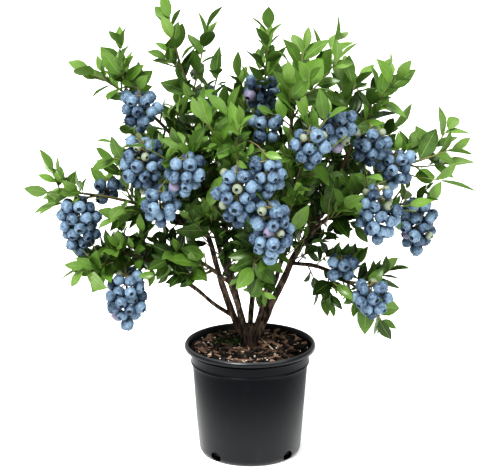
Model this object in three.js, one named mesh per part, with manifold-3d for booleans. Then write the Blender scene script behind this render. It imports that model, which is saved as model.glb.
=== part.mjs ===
// A highbush blueberry in a one-gallon nursery pot, in millimetres, +Z up.
// The origin is the centre of the pot's flat underside, and -Y is the front.
//
// The plant is a clump. Seven tapering stems spring from one short woody base, each stem carries boughs,
// and every bough or stem tip carries one fruiting spray. A spray is one solid: a twig that goes on from
// the wood, side shoots and leaves set round it by a seeded rule, and trusses of fruit that hang where the
// plant carries them.

import * as THREE from "three";
import { mergeVertices } from "three/addons/utils/BufferGeometryUtils.js";
import Module from "manifold-3d";

const wasm = await Module();
wasm.setup();

// ---------------------------------------------------------------- driving dimensions

const SEED = 7007;
const GAP = 0.3; // air between pieces that rest on each other

const POT = {
  height: 165,
  rimRadius: 95,
  lipHeight: 9, // height of the rolled lip
  lipTopRadius: 92, // where the lip's top is highest
  bandRadius: 87.5, // the straight band under the lip
  bandHeight: 22, // from the top edge down to the ridge
  shoulderRadius: 85.7, // the wall just under the ridge
  footRadius: 74, // the wall where it meets the foot's rounding
  footRounding: 9,
  wall: 2,
  drains: 4,
  drainTurn: 48, // the first drain, in degrees from +X
  drainRadius: 6,
  sides: 32,
};

const SOIL = { inset: 0.6, edgeHeight: 154, flatRadius: 22, topHeight: 157 };

const BASE = { height: 26, footRadius: 15, waistRadius: 11.5, stemRing: 5.8, stemHeight: 11, sides: 12 };

const LIMB = {
  stemSides: 5,
  stemSteps: 5,
  boughSides: 5,
  boughSteps: 3,
  boughShare: 0.3, // how much of a branch's length is bare bough, from its fork
  boughRadius: 3.6, // at the fork, or less on a thin stem
  boughToStem: 0.72, // a bough's radius at its fork against the stem's there
  clearance: 2.2, // between a leaf and the wood of any limb
};

const TWIG = { sides: 3, steps: 4, radius: 2.8, tipRadius: 1.7, barePart: 0.2, nodes: 9, leaves: 5 };

const SHOOT = {
  count: 3, // on each spray
  tries: 12,
  length: 90,
  angle: 52,
  lift: 0.25, // how far it turns up, against its length
  footRadius: 1,
  tipRadius: 1.1,
  barePart: 0.25,
  nodes: 6,
  leaves: 3,
};

const LEAF = {
  length: 62,
  width: 29,
  thickness: 2.6,
  widest: 0.42, // share of the length from the root
  angle: 48, // from the twig
  apart: 20, // between the middles of two leaves of a spray
  shorter: 0.8, // the size it takes where a full one doesn't fit
};

const FRUIT = {
  radius: 10.5,
  ringRadius: 12.3,
  ringRise: 17.5,
  perRing: 3,
  lastDrop: 16.5, // from the last ring down to the fruit under it
  coreRadius: 6.2,
  coreHead: 5, // how far the core stands over the first ring
  stalkRadius: 1,
  stalkEndRadius: 1.6,
  stalkSteps: 2,
  clearance: 2,
};

const SPACE_MARGIN = 3; // how much nearer a place is to its own spray than to any other
const FRONT_REACH = 236; // how far any leaf may reach in front of the pot's axis

const COLOURS = {
  plastic: { color: 0x1d1f21, roughness: 0.45, metalness: 0 },
  soil: { color: 0x2b1c14, roughness: 0.95, metalness: 0 },
  bark: { color: 0x4a3527, roughness: 0.85, metalness: 0 },
  foliage: { color: 0x3f7a26, roughness: 0.55, metalness: 0 },
};

// Which draw of the seeded rule a number is for.
const DRAW = {
  leafTurn: 1,
  leafAngle: 2,
  leafLength: 3,
  shootTurn: 11,
  shootLength: 12,
  ringTurn: 21,
  size: 22,
};
const GROWN_ON = { shoot: 31, twig: 41 };

const UP = new THREE.Vector3(0, 0, 1);
const FULL_TURN = 2 * Math.PI;
const GOLDEN_TURN = THREE.MathUtils.degToRad(137.508);
const GOLDEN_SHARE = 0.618034;

// A place round the plant: turn in degrees anticlockwise from +X, distance out from the axis, height up
// from the floor.
const place = (turn, out, up) =>
  new THREE.Vector3(
    out * Math.cos(THREE.MathUtils.degToRad(turn)),
    out * Math.sin(THREE.MathUtils.degToRad(turn)),
    up,
  );

// A stem: where it leaves the base (degrees from +X), its lean there and at its tip (degrees from upright),
// its tip, and its radius at the foot and at the tip.
const stemRow = (name, turn, lean, tip, tipLean, radii) => ({ name, turn, lean, tip, tipLean, radii });

// A branch: the stem that carries it, how far up that stem it forks (1 is the stem's tip, which needs no
// bough), the tip of its last leaf, the slope of its wood there in degrees, and its trusses.
const branchRow = (name, stem, at, tip, slope, ...trusses) => ({ name, stem, at, tip, slope, trusses });

// A truss: its middle and how many rings of fruit it has.
const truss = (turn, out, up, rings) => ({ middle: place(turn, out, up), rings });

const STEMS = [
  stemRow("stem_right", 0, 28, place(3, 124, 378), 46, [6.8, 3.9]),
  stemRow("stem_left", 182, 31, place(186, 72, 352), 26, [6.2, 3.6]),
  stemRow("stem_left_back", 130, 26, place(135, 60, 385), 2, [5.6, 3.4]),
  stemRow("stem_back", 86, 22, place(84, 78, 350), 12, [5, 3.2]),
  stemRow("stem_back_right", 42, 26, place(36, 92, 345), 26, [4.6, 3]),
  stemRow("stem_front", 302, 22, place(300, 85, 335), 24, [4.4, 2.9]),
  stemRow("stem_front_left", 238, 20, place(236, 80, 330), 22, [4.4, 2.9]),
];

const BRANCHES = [
  branchRow("right_reach", "stem_right", 1, place(0, 318, 464), 22, truss(-8, 205, 425, 2)),
  branchRow("right_low_reach", "stem_right", 0.88, place(4, 296, 372), 5, truss(2, 238, 338, 3)),
  branchRow("right_upper", "stem_right", 0.78, place(2, 208, 588), 62, truss(-14, 172, 462, 2)),
  branchRow("right_front", "stem_right", 0.66, place(-26, 236, 440), 25, truss(-27, 197, 380, 3)),
  branchRow("right_low", "stem_right", 0.52, place(-17, 209, 184), -60,
    truss(-23, 184, 250, 2), truss(-24, 140, 292, 1)),
  branchRow("left_shoulder", "stem_left", 1, place(-147, 205, 520), 48, truss(-147, 172, 448, 3)),
  branchRow("left_reach", "stem_left", 0.84, place(-175, 321, 396), 2,
    truss(-170, 242, 350, 3), truss(180, 200, 392, 1)),
  branchRow("left_low", "stem_left", 0.2, place(-165, 272, 272), -35, truss(-155, 190, 256, 3)),
  branchRow("top_left", "stem_left_back", 1, place(172, 120, 640), 74, truss(136, 96, 508, 1)),
  branchRow("left_upper", "stem_left_back", 0.88, place(-178, 254, 579), 30, truss(-162, 158, 512, 2)),
  branchRow("back_left", "stem_left_back", 0.66, place(137, 266, 457), 18, truss(138, 200, 400, 2)),
  branchRow("top", "stem_back", 1, place(12, 26, 656), 84, truss(70, 46, 515, 2)),
  branchRow("back", "stem_back", 0.86, place(92, 262, 498), 28, truss(96, 196, 440, 2)),
  branchRow("back_low", "stem_back", 0.6, place(78, 262, 320), -12, truss(74, 200, 300, 2)),
  branchRow("back_right_top", "stem_back_right", 1, place(30, 205, 560), 52, truss(48, 165, 486, 1)),
  branchRow("back_right", "stem_back_right", 0.76, place(44, 272, 425), 12, truss(42, 205, 375, 2)),
  branchRow("right_shoulder", "stem_front", 1, place(-46, 178, 548), 50,
    truss(-63, 172, 484, 2), truss(-38, 150, 494, 2)),
  branchRow("top_right", "stem_front", 0.88, place(-16, 86, 632), 72, truss(-70, 62, 492, 1)),
  branchRow("front_low", "stem_front", 0.7, place(-91, 190, 292), -45, truss(-82, 200, 384, 3)),
  branchRow("front", "stem_front_left", 0.72, place(-93, 172, 548), 56,
    truss(-95, 193, 430, 3), truss(-83, 183, 452, 2)),
  branchRow("left_front", "stem_front_left", 1, place(-123, 196, 512), 40,
    truss(-119, 175, 446, 2), truss(-131, 184, 400, 2)),
  branchRow("left_inner", "stem_front_left", 0.6, place(-140, 186, 318), 0),
];

// ---------------------------------------------------------------- the seeded rule

// A number from 0 to 1 that depends only on the seed and the keys, so that a rule can be read in any order.
function chance(...keys) {
  let h = SEED;
  for (const key of keys) {
    h = Math.imul(h ^ (key + 0x9e3779b9), 0x85ebca6b);
    h ^= h >>> 13;
    h = Math.imul(h, 0xc2b2ae35);
    h ^= h >>> 16;
  }
  return (h >>> 0) / 2 ** 32;
}

const spread = (low, high, ...keys) => low + (high - low) * chance(...keys);

// ---------------------------------------------------------------- curves and directions

// The direction that leans by so many degrees from upright towards a turn.
function leaning(turnDegrees, leanDegrees) {
  const lean = THREE.MathUtils.degToRad(leanDegrees);
  return place(turnDegrees, Math.sin(lean), Math.cos(lean));
}

const flatTurn = (v) => THREE.MathUtils.radToDeg(Math.atan2(v.y, v.x));

// A curve that leaves start along one direction and reaches end along another.
function sweep(start, startDirection, end, endDirection) {
  const pull = start.distanceTo(end) / 3;
  return new THREE.CubicBezierCurve3(
    start.clone(),
    start.clone().addScaledVector(startDirection, pull),
    end.clone().addScaledVector(endDirection, -pull),
    end.clone(),
  );
}

// A curve, from a share of it to its end, as the straight runs between even steps. What grows on a limb is
// placed on these, so that it starts inside the limb.
class Runs extends THREE.Curve {
  constructor(curve, from, steps) {
    super();
    this.points = Array.from({ length: steps + 1 }, (_, i) => curve.getPoint(from + ((1 - from) * i) / steps));
    this.firstTangent = curve.getTangent(from);
  }

  getPoint(share) {
    const along = share * (this.points.length - 1);
    const run = THREE.MathUtils.clamp(Math.floor(along), 0, this.points.length - 2);
    return this.points[run].clone().lerp(this.points[run + 1], along - run);
  }

  getTangent(share) {
    return share === 0 ? this.firstTangent.clone() : super.getTangent(share);
  }
}

// Two unit vectors square to a direction. The first is as near to a reference as it can be.
function squareTo(direction, reference) {
  const side = reference.clone().addScaledVector(direction, -reference.dot(direction)).normalize();
  return [side, new THREE.Vector3().crossVectors(side, direction)];
}

// A reference for squareTo that no tangent of the curve comes near to: square to its bend, or to a fixed
// slant where it is all but straight.
function referenceOf(curve) {
  const straight = 0.05;
  const slant = new THREE.Vector3(0.6, 0.8, 0.1);
  const bend = new THREE.Vector3().crossVectors(curve.getTangent(0), curve.getTangent(1));
  return (bend.length() < straight ? bend.crossVectors(curve.getTangent(0), slant) : bend).normalize();
}

// The direction that leaves a curve at a place on it, by an angle from its tangent and a turn round it
// (radians).
function leavingCurve(curve, share, angle, turn) {
  const tangent = curve.getTangent(share);
  const [side, other] = squareTo(tangent, referenceOf(curve));
  const outward = side.multiplyScalar(Math.cos(turn)).addScaledVector(other, Math.sin(turn));
  const along = tangent.clone().multiplyScalar(Math.cos(angle)).addScaledVector(outward, Math.sin(angle));
  const inward = tangent.multiplyScalar(Math.sin(angle)).addScaledVector(outward, -Math.cos(angle));
  return { along: along.normalize(), inward };
}

// ---------------------------------------------------------------- solids and meshes

// A closed cylinder bent along a curve from its start to a share of it, tapering as it goes.
function taperedLimb(curve, to, footRadius, tipRadius, sides, steps) {
  const geometry = new THREE.CylinderGeometry(tipRadius, footRadius, 1, sides, steps);
  const reference = referenceOf(curve);
  const position = geometry.attributes.position;
  for (let i = 0; i < position.count; i++) {
    const share = to * (position.getY(i) + 0.5);
    const [side, other] = squareTo(curve.getTangent(share), reference);
    const point = curve.getPoint(share).addScaledVector(side, position.getX(i));
    point.addScaledVector(other, position.getZ(i));
    position.setXYZ(i, point.x, point.y, point.z);
  }
  return geometry;
}

function solidOf(geometry) {
  const bare = geometry.clone();
  bare.deleteAttribute("normal");
  bare.deleteAttribute("uv");
  const merged = mergeVertices(bare, 1e-4);
  return new wasm.Manifold(
    new wasm.Mesh({
      numProp: 3,
      vertProperties: merged.attributes.position.array,
      triVerts: new Uint32Array(merged.index.array),
    }),
  );
}

// The largest body of a solid, so that a scrap cut loose isn't kept.
function largestBody(solid) {
  return solid.decompose().reduce((best, body) => (body.volume() > best.volume() ? body : best));
}

// A named mesh of a solid. Its position is the place it is carried by, and its vertices are measured from
// there.
function meshOf(name, solid, colour, carriedAt) {
  const { numProp, vertProperties, triVerts } = solid.getMesh();
  const positions = new Float32Array((vertProperties.length / numProp) * 3);
  for (let i = 0; i < positions.length / 3; i++) {
    positions.set(vertProperties.subarray(i * numProp, i * numProp + 3), i * 3);
  }
  const geometry = new THREE.BufferGeometry();
  geometry.setAttribute("position", new THREE.BufferAttribute(positions, 3));
  geometry.setIndex(new THREE.BufferAttribute(new Uint32Array(triVerts), 1));
  geometry.translate(-carriedAt.x, -carriedAt.y, -carriedAt.z);
  geometry.computeVertexNormals();
  const mesh = new THREE.Mesh(geometry, new THREE.MeshStandardMaterial(colour));
  mesh.name = name;
  mesh.position.copy(carriedAt);
  return mesh;
}

// A solid of revolution about the Z axis, from [radius, height] pairs that start and end on the axis.
function turned(profile, sides) {
  const points = profile.map(([radius, height]) => new THREE.Vector2(radius, height));
  return solidOf(new THREE.LatheGeometry(points, sides).rotateX(Math.PI / 2));
}

// ---------------------------------------------------------------- pot and soil

const RIDGE = POT.height - POT.bandHeight;
const LIP_FOOT = POT.height - POT.lipHeight;
const FLOOR_RADIUS = POT.footRadius - POT.footRounding;

// The moulded shell: flat floor, rounded foot, slightly flared wall, ridge, straight band and rolled lip.
function shellSolid() {
  const { height, rimRadius, bandRadius, shoulderRadius, footRadius, footRounding, wall } = POT;
  const step = 0.6; // how far the ridge and the lip's underside stand out from a sharp corner
  const outside = [
    [0, 0],
    [FLOOR_RADIUS, 0],
    [footRadius, footRounding],
    [shoulderRadius, RIDGE - 3 * step],
    [bandRadius - step, RIDGE],
    [bandRadius, LIP_FOOT],
    [rimRadius - step, LIP_FOOT + step],
    [rimRadius, LIP_FOOT + POT.lipHeight / 2],
    [POT.lipTopRadius, height],
  ];
  const inside = [
    [bandRadius - wall / 4, height - step],
    [bandRadius - wall, LIP_FOOT],
    [shoulderRadius - wall, RIDGE - 5 * step],
    [footRadius - wall, footRounding + wall],
    [FLOOR_RADIUS, wall],
    [0, wall],
  ];
  return turned([...outside, ...inside], POT.sides);
}

// A drain is a slanting hole through the rounded foot.
function drainSolid(number) {
  const turn = POT.drainTurn + (360 * number) / POT.drains;
  const drain = new THREE.CylinderGeometry(POT.drainRadius, POT.drainRadius, 4 * POT.footRounding, 6);
  drain.rotateZ(THREE.MathUtils.degToRad(135));
  drain.translate(POT.footRadius - POT.wall, 0, POT.wall);
  return solidOf(drain.rotateZ(THREE.MathUtils.degToRad(turn)));
}

function potSolid() {
  const drains = Array.from({ length: POT.drains }, (_, number) => drainSolid(number));
  return drains.reduce((pot, drain) => pot.subtract(drain), shellSolid());
}

// The soil fills the pot from just over its floor to a low mound, flat round the plant's base.
function soilSolid() {
  const inset = POT.wall + SOIL.inset;
  const floor = POT.wall + GAP;
  return turned(
    [
      [0, floor],
      [FLOOR_RADIUS - inset, floor],
      [POT.footRadius - inset, POT.footRounding + floor],
      [POT.shoulderRadius - inset, RIDGE - POT.wall],
      [POT.bandRadius - inset - SOIL.inset, SOIL.edgeHeight],
      [SOIL.flatRadius, SOIL.topHeight],
      [0, SOIL.topHeight],
    ],
    POT.sides,
  );
}

// ---------------------------------------------------------------- base, stems and boughs

const BASE_FOOT = SOIL.topHeight + GAP;

// The woody base: a flat cut at the soil, the root flare, a waist and a rounded shoulder that the stems
// leave.
function baseSolid(grown = 0) {
  const profile = [
    [1, 0],
    [0.83, 0.2],
    [0.77, 0.45],
    [0.67, 0.75],
    [0.42, 0.96],
  ];
  const bottom = [BASE.footRadius + grown, BASE_FOOT - grown];
  const rings = profile.slice(1).map(([out, up]) => [BASE.footRadius * out + grown, BASE_FOOT + BASE.height * up]);
  const top = [0, BASE_FOOT + BASE.height + grown];
  return turned([[0, BASE_FOOT - grown], bottom, ...rings, top], BASE.sides);
}

function stemCurve(stem) {
  const start = place(stem.turn, BASE.stemRing, BASE_FOOT + BASE.stemHeight);
  return sweep(start, leaning(stem.turn, stem.lean), stem.tip, leaning(flatTurn(stem.tip), stem.tipLean));
}

const stems = new Map(STEMS.map((stem) => [stem.name, { ...stem, curve: stemCurve(stem) }]));

// Each branch is one curve from its fork to its tip. One that forks from a stem's side sets off between the
// stem's direction and its own, and one at a stem's tip goes straight on.
function branchCurve(branch) {
  const { curve } = stems.get(branch.stem);
  const leader = branch.at === 1;
  const start = curve.getPoint(branch.at);
  const onward = curve.getTangent(branch.at);
  const outward = branch.tip.clone().sub(start).normalize();
  if (leader) start.addScaledVector(onward, GAP);
  const setOff = leader ? onward : onward.multiplyScalar(0.55).addScaledVector(outward, 0.75).normalize();
  const last = leaning(flatTurn(outward), 90 - branch.slope);
  const woodEnd = branch.tip.clone().addScaledVector(last, -LEAF.length * 0.8);
  return sweep(start, setOff, woodEnd, last);
}

// The bare bough is the first part of its branch's curve, and the spray's twig is the rest.
const branches = BRANCHES.map((branch, index) => {
  const { radii } = stems.get(branch.stem);
  const curve = branchCurve(branch);
  const leader = branch.at === 1;
  const stemRadius = THREE.MathUtils.lerp(...radii, branch.at);
  const twigFrom = leader ? 0 : LIMB.boughShare + GAP / curve.getLength();
  return {
    ...branch,
    index,
    curve,
    leader,
    boughRadii: [Math.min(LIMB.boughRadius, stemRadius * LIMB.boughToStem), TWIG.radius * 1.1],
    twig: new Runs(curve, twigFrom, TWIG.steps),
    twigRadius: leader ? stemRadius * 0.8 : TWIG.radius,
  };
});

// A limb's centre line with its radius, for keeping leaves off the wood.
function limbLine(curve, to, radii) {
  const steps = 24;
  return Array.from({ length: steps + 1 }, (_, i) => ({
    point: curve.getPoint((to * i) / steps),
    radius: THREE.MathUtils.lerp(...radii, i / steps),
  }));
}

const limbs = [
  ...[...stems.values()].map(({ name, curve, radii }) => ({
    name,
    curve,
    to: 1,
    radii,
    sides: LIMB.stemSides,
    steps: LIMB.stemSteps,
  })),
  ...branches
    .filter((branch) => !branch.leader)
    .map(({ name, curve, boughRadii }) => ({
      name: "bough_" + name,
      curve,
      to: LIMB.boughShare,
      radii: boughRadii,
      sides: LIMB.boughSides,
      steps: LIMB.boughSteps,
    })),
];
const limbPoints = limbs.flatMap(({ curve, to, radii }) => limbLine(curve, to, radii));

// The wood. Each limb is cut clear of the base and of every limb made before it that it meets.
function woodMeshes() {
  const cutters = [baseSolid(GAP)];
  const meshes = [meshOf("stem_base", baseSolid(), COLOURS.bark, new THREE.Vector3(0, 0, BASE_FOOT))];
  const solidWith = ({ curve, to, radii, sides, steps }, grown) =>
    solidOf(taperedLimb(curve, to, radii[0] + grown, radii[1] + grown, sides, steps));
  for (const limb of limbs) {
    const met = (solid, cutter) => solid.intersect(cutter).volume() > 0;
    const cut = (solid, cutter) => (met(solid, cutter) ? largestBody(solid.subtract(cutter)) : solid);
    meshes.push(meshOf(limb.name, cutters.reduce(cut, solidWith(limb, 0)), COLOURS.bark, limb.curve.getPoint(0)));
    cutters.push(solidWith(limb, GAP * 1.2));
  }
  return meshes;
}

// ---------------------------------------------------------------- the sprays' spaces

// Points that mark a spray's own wood and fruit. A place belongs to the spray whose marks are nearest.
const marks = branches.map(({ twig, trusses }) => [...twig.getPoints(14), ...trusses.map(({ middle }) => middle)]);

function nearest(point, points) {
  return Math.sqrt(points.reduce((least, other) => Math.min(least, other.distanceToSquared(point)), Infinity));
}

// Whether points of a twig, leaf or fruit keep to the spray's space and off every limb.
function keepsToSpace(index, points, thickness = 0) {
  return points.every((point) => {
    const reach = nearest(point, marks[index]) + thickness + SPACE_MARGIN;
    const offLimb = (limb) => limb.point.distanceTo(point) > limb.radius + thickness + LIMB.clearance;
    return marks.every((other, i) => i === index || reach < nearest(point, other)) && limbPoints.every(offLimb);
  });
}

// ---------------------------------------------------------------- leaves

// A leaf's frame: the way it points, the way its face looks, as far up as it can, and the way of its width.
function leafFrame(curve, share, angleDegrees, turn) {
  const { along, inward } = leavingCurve(curve, share, THREE.MathUtils.degToRad(angleDegrees), turn);
  const face = inward.addScaledVector(UP, 0.6);
  face.addScaledVector(along, -face.dot(along)).normalize();
  return { along, face, across: new THREE.Vector3().crossVectors(face, along) };
}

// A leaf blade of four faces: a tetrahedron with one edge as the raised rib, from the root to the tip, and
// the other as the width, below it.
function leafGeometry({ root, frame, length }) {
  const halfWidth = (LEAF.width * length) / LEAF.length / 2;
  const geometry = new THREE.TetrahedronGeometry(1, 0);
  const position = geometry.attributes.position;
  for (let i = 0; i < position.count; i++) {
    const onRib = position.getZ(i) > 0;
    const end = Math.sign(position.getX(i));
    const point = root.clone().addScaledVector(frame.along, length * (onRib ? (1 - end) / 2 : LEAF.widest));
    if (!onRib) point.addScaledVector(frame.across, end * halfWidth).addScaledVector(frame.face, -LEAF.thickness);
    position.setXYZ(i, point.x, point.y, point.z);
  }
  return geometry;
}

// Places on a leaf that tell whether it keeps clear: its middle first, then near its root, its tip and both
// edges.
function leafProbes({ root, frame, length }) {
  const halfWidth = (LEAF.width * length) / LEAF.length / 2;
  const along = [0.6, 0.2, 0.4, 0.8, 1].map((share) => [share, 0]);
  const edges = [-1, 1].flatMap((side) => [
    [LEAF.widest, side],
    [0.7, side / 2],
  ]);
  return [...along, ...edges].map(([share, side]) =>
    root.clone().addScaledVector(frame.along, share * length).addScaledVector(frame.across, side * halfWidth),
  );
}

// Leaves set round a twig by the golden angle, from its tip, where one points straight on, down to its bare
// part.
function* leavesAlong(curve, { barePart, nodes }, keys) {
  const tipSink = 4;
  const tipAngle = 6;
  for (let i = 0; i <= nodes; i++) {
    const atTip = i === 0;
    const share = 1 - ((1 - barePart) * i) / nodes;
    const turn = GOLDEN_TURN * i + spread(0, FULL_TURN, ...keys, DRAW.leafTurn);
    const angle = LEAF.angle + spread(-10, 10, ...keys, i, DRAW.leafAngle);
    const frame = leafFrame(curve, share, atTip ? tipAngle : angle, turn);
    const root = curve.getPoint(share).addScaledVector(frame.along, atTip ? -tipSink : 0);
    yield { root, frame, length: LEAF.length * spread(0.82, 1.08, ...keys, i, DRAW.leafLength) };
  }
}

// ---------------------------------------------------------------- shoots and trusses

// Side shoots leave the spray's twig all round it and turn up towards the light.
function shootCurve(branch, number) {
  const share = 0.06 + 0.7 * ((0.35 + number * GOLDEN_SHARE) % 1);
  const turn = GOLDEN_TURN * number + spread(0, FULL_TURN, branch.index, DRAW.shootTurn);
  const { along } = leavingCurve(branch.twig, share, THREE.MathUtils.degToRad(SHOOT.angle), turn);
  const length = SHOOT.length * spread(0.7, 1.1, branch.index, number, DRAW.shootLength);
  const start = branch.twig.getPoint(share);
  const end = start.clone().addScaledVector(along, length * 0.75).addScaledVector(UP, length * SHOOT.lift);
  return new THREE.LineCurve3(start, end);
}

// A truss's fruit: rings of three round its core, each ring turned between the last, with one more fruit
// under them.
function trussFruit(branch, { middle, rings }, number, ringTurn) {
  const topHeight = middle.z + (rings * FRUIT.ringRise) / 2;
  return Array.from({ length: rings * FRUIT.perRing + 1 }, (_, i) => {
    const ring = Math.floor(i / FRUIT.perRing);
    const last = ring === rings;
    const angle = ringTurn + (FULL_TURN * i) / FRUIT.perRing + (Math.PI * ring) / FRUIT.perRing;
    const out = last ? 0 : FRUIT.ringRadius;
    const drop = last ? (rings - 1) * FRUIT.ringRise + FRUIT.lastDrop : ring * FRUIT.ringRise;
    return {
      centre: new THREE.Vector3(middle.x + out * Math.cos(angle), middle.y + out * Math.sin(angle), topHeight - drop),
      radius: FRUIT.radius * spread(0.93, 1, branch.index, number, i, DRAW.size),
      angle,
    };
  });
}

// A truss hangs from the nearest part of its spray's twig: a stalk that arches over to it, and a core that
// hangs plumb, with its flats towards the first ring of fruit.
function trussWood(branch, { middle, rings }, ringTurn) {
  const top = middle.clone().addScaledVector(UP, (rings * FRUIT.ringRise) / 2);
  const places = Array.from({ length: 12 }, (_, i) => branch.twig.getPoint(0.06 + 0.07 * i));
  const start = places.reduce((best, point) => (point.distanceTo(top) < best.distanceTo(top) ? point : best));
  const crest = start.clone().lerp(top, 0.7).addScaledVector(UP, start.distanceTo(top) * 0.35);
  const end = top.clone().addScaledVector(UP, FRUIT.coreHead / 2);
  const arch = new THREE.QuadraticBezierCurve3(start, crest, end);
  const length = (rings - 1) * FRUIT.ringRise + FRUIT.lastDrop;
  const core = new THREE.CylinderGeometry(FRUIT.coreRadius, FRUIT.coreRadius, length, TWIG.sides);
  core.rotateX(Math.PI / 2).rotateZ(ringTurn - Math.PI / 6);
  core.translate(middle.x, middle.y, top.z + FRUIT.coreHead - length / 2);
  return [taperedLimb(arch, 1, FRUIT.stalkRadius, FRUIT.stalkEndRadius, TWIG.sides, FRUIT.stalkSteps), core];
}

// A fruit of twenty faces with one corner turned level towards the truss's core.
function fruitGeometry({ centre, radius, angle }) {
  const corner = new THREE.Vector3(-1, (1 + Math.sqrt(5)) / 2, 0).normalize();
  const towardsCore = new THREE.Vector3(-Math.cos(angle), -Math.sin(angle), 0);
  const turnTo = new THREE.Quaternion().setFromUnitVectors(corner, towardsCore);
  return new THREE.IcosahedronGeometry(radius, 0).applyQuaternion(turnTo).translate(centre.x, centre.y, centre.z);
}

// ---------------------------------------------------------------- sprays

// One spray as it grows: the geometries to fuse, and what a new leaf or shoot has to keep clear of.
class Spray {
  constructor(branch) {
    this.branch = branch;
    this.pieces = [taperedLimb(branch.twig, 1, branch.twigRadius, TWIG.tipRadius, TWIG.sides, TWIG.steps)];
    this.fruit = [];
    this.leafMiddles = [];
  }

  hangTruss(truss, number) {
    const ringTurn = spread(0, FULL_TURN, this.branch.index, number, DRAW.ringTurn);
    const fruit = trussFruit(this.branch, truss, number, ringTurn).filter(({ centre, radius }) =>
      keepsToSpace(this.branch.index, [centre], radius),
    );
    this.fruit.push(...fruit);
    this.pieces.push(...trussWood(this.branch, truss, ringTurn), ...fruit.map(fruitGeometry));
  }

  isClear(points, thickness = 0) {
    const offFruit = (point) =>
      this.fruit.every(({ centre, radius }) => centre.distanceTo(point) > radius + FRUIT.clearance);
    const isFree = (point) => point.y > -FRONT_REACH && offFruit(point);
    return keepsToSpace(this.branch.index, points, thickness) && points.every(isFree);
  }

  fits(leaf) {
    const probes = leafProbes(leaf);
    return nearest(probes[0], this.leafMiddles) > LEAF.apart && this.isClear(probes);
  }

  // Grows leaves along a twig, up to the most it carries. One that doesn't fit is tried smaller, then
  // skipped.
  leafOut(curve, twigKind, keys) {
    let kept = 0;
    for (const leaf of leavesAlong(curve, twigKind, keys)) {
      if (kept === twigKind.leaves) return;
      const sizes = [leaf, { ...leaf, length: leaf.length * LEAF.shorter }];
      const fitting = sizes.find((size) => this.fits(size));
      if (!fitting) continue;
      this.pieces.push(leafGeometry(fitting));
      this.leafMiddles.push(leafProbes(fitting)[0]);
      kept++;
    }
  }

  // Grows side shoots with their leaves, until the spray has its count.
  shootOut() {
    let kept = 0;
    for (let number = 0; number < SHOOT.tries && kept < SHOOT.count; number++) {
      const shoot = shootCurve(this.branch, number);
      if (!this.isClear(shoot.getPoints(6).slice(1), SHOOT.footRadius)) continue;
      this.pieces.push(taperedLimb(shoot, 1, SHOOT.footRadius, SHOOT.tipRadius, TWIG.sides, 1));
      this.leafOut(shoot, SHOOT, [this.branch.index, number, GROWN_ON.shoot]);
      kept++;
    }
  }

  mesh() {
    const fused = this.pieces.map(solidOf).reduce((joined, piece) => joined.add(piece));
    const name = "spray_" + this.branch.name;
    return meshOf(name, largestBody(fused), COLOURS.foliage, this.branch.twig.getPoint(0));
  }
}

function sprayMesh(branch) {
  const spray = new Spray(branch);
  branch.trusses.forEach((truss, number) => spray.hangTruss(truss, number));
  spray.shootOut();
  spray.leafOut(branch.twig, TWIG, [branch.index, GROWN_ON.twig]);
  return spray.mesh();
}

// ---------------------------------------------------------------- assembly

const bush = new THREE.Group();
bush.add(...woodMeshes(), ...branches.map(sprayMesh));

const container = new THREE.Group();
container.add(
  meshOf("pot", potSolid(), COLOURS.plastic, new THREE.Vector3()),
  meshOf("soil", soilSolid(), COLOURS.soil, new THREE.Vector3(0, 0, POT.wall)),
);

const plantInPot = new THREE.Group();
plantInPot.add(container, bush);

export default plantInPot;
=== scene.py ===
"""A highbush blueberry in a one-gallon nursery pot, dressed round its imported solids.

The plant's rule is written in millimetres: stems spring from a woody base, boughs fork from the stems, and
each bough or stem tip carries one spray. A spray is a twig with side shoots, leaves and bunches of berries
set round it by a seeded rule. Meshes are scaled to metres as they are made.
"""

import logging
import math
from collections.abc import Iterator
from dataclasses import dataclass, field, replace
from enum import Enum

import bmesh
import bpy
import numpy as np
from mathutils import Matrix, Vector, noise


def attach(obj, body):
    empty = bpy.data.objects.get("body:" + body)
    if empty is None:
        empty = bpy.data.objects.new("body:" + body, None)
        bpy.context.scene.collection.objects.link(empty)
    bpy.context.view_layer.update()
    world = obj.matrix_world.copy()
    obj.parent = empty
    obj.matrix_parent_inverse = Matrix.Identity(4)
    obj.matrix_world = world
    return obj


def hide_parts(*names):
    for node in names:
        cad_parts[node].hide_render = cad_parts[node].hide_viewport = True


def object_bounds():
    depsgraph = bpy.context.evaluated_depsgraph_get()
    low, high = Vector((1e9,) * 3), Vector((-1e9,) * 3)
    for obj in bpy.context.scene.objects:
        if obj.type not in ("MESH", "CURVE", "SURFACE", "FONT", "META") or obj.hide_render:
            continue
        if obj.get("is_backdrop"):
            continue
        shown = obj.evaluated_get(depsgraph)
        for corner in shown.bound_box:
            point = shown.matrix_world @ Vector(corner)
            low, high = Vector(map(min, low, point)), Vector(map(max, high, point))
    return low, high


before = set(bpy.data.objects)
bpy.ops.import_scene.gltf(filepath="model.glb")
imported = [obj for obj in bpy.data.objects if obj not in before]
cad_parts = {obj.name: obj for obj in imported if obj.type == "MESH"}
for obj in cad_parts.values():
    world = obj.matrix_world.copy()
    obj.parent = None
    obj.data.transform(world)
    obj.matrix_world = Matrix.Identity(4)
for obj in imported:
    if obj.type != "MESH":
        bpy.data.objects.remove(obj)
CAD_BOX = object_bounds()

LOG = logging.getLogger("blueberry")
MM = 0.001
GAP = 0.3
FULL_TURN = 2 * math.pi
GOLDEN_TURN = math.radians(137.508)
GOLDEN_SHARE = 0.618034
UP = np.array([0.0, 0.0, 1.0])
FRONT = np.array([0.0, -1.0, 0.0])

Vec = np.ndarray
Colour = tuple[float, float, float]
Pair = tuple[float, float]


# ------------------------ the seeded rule

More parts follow.
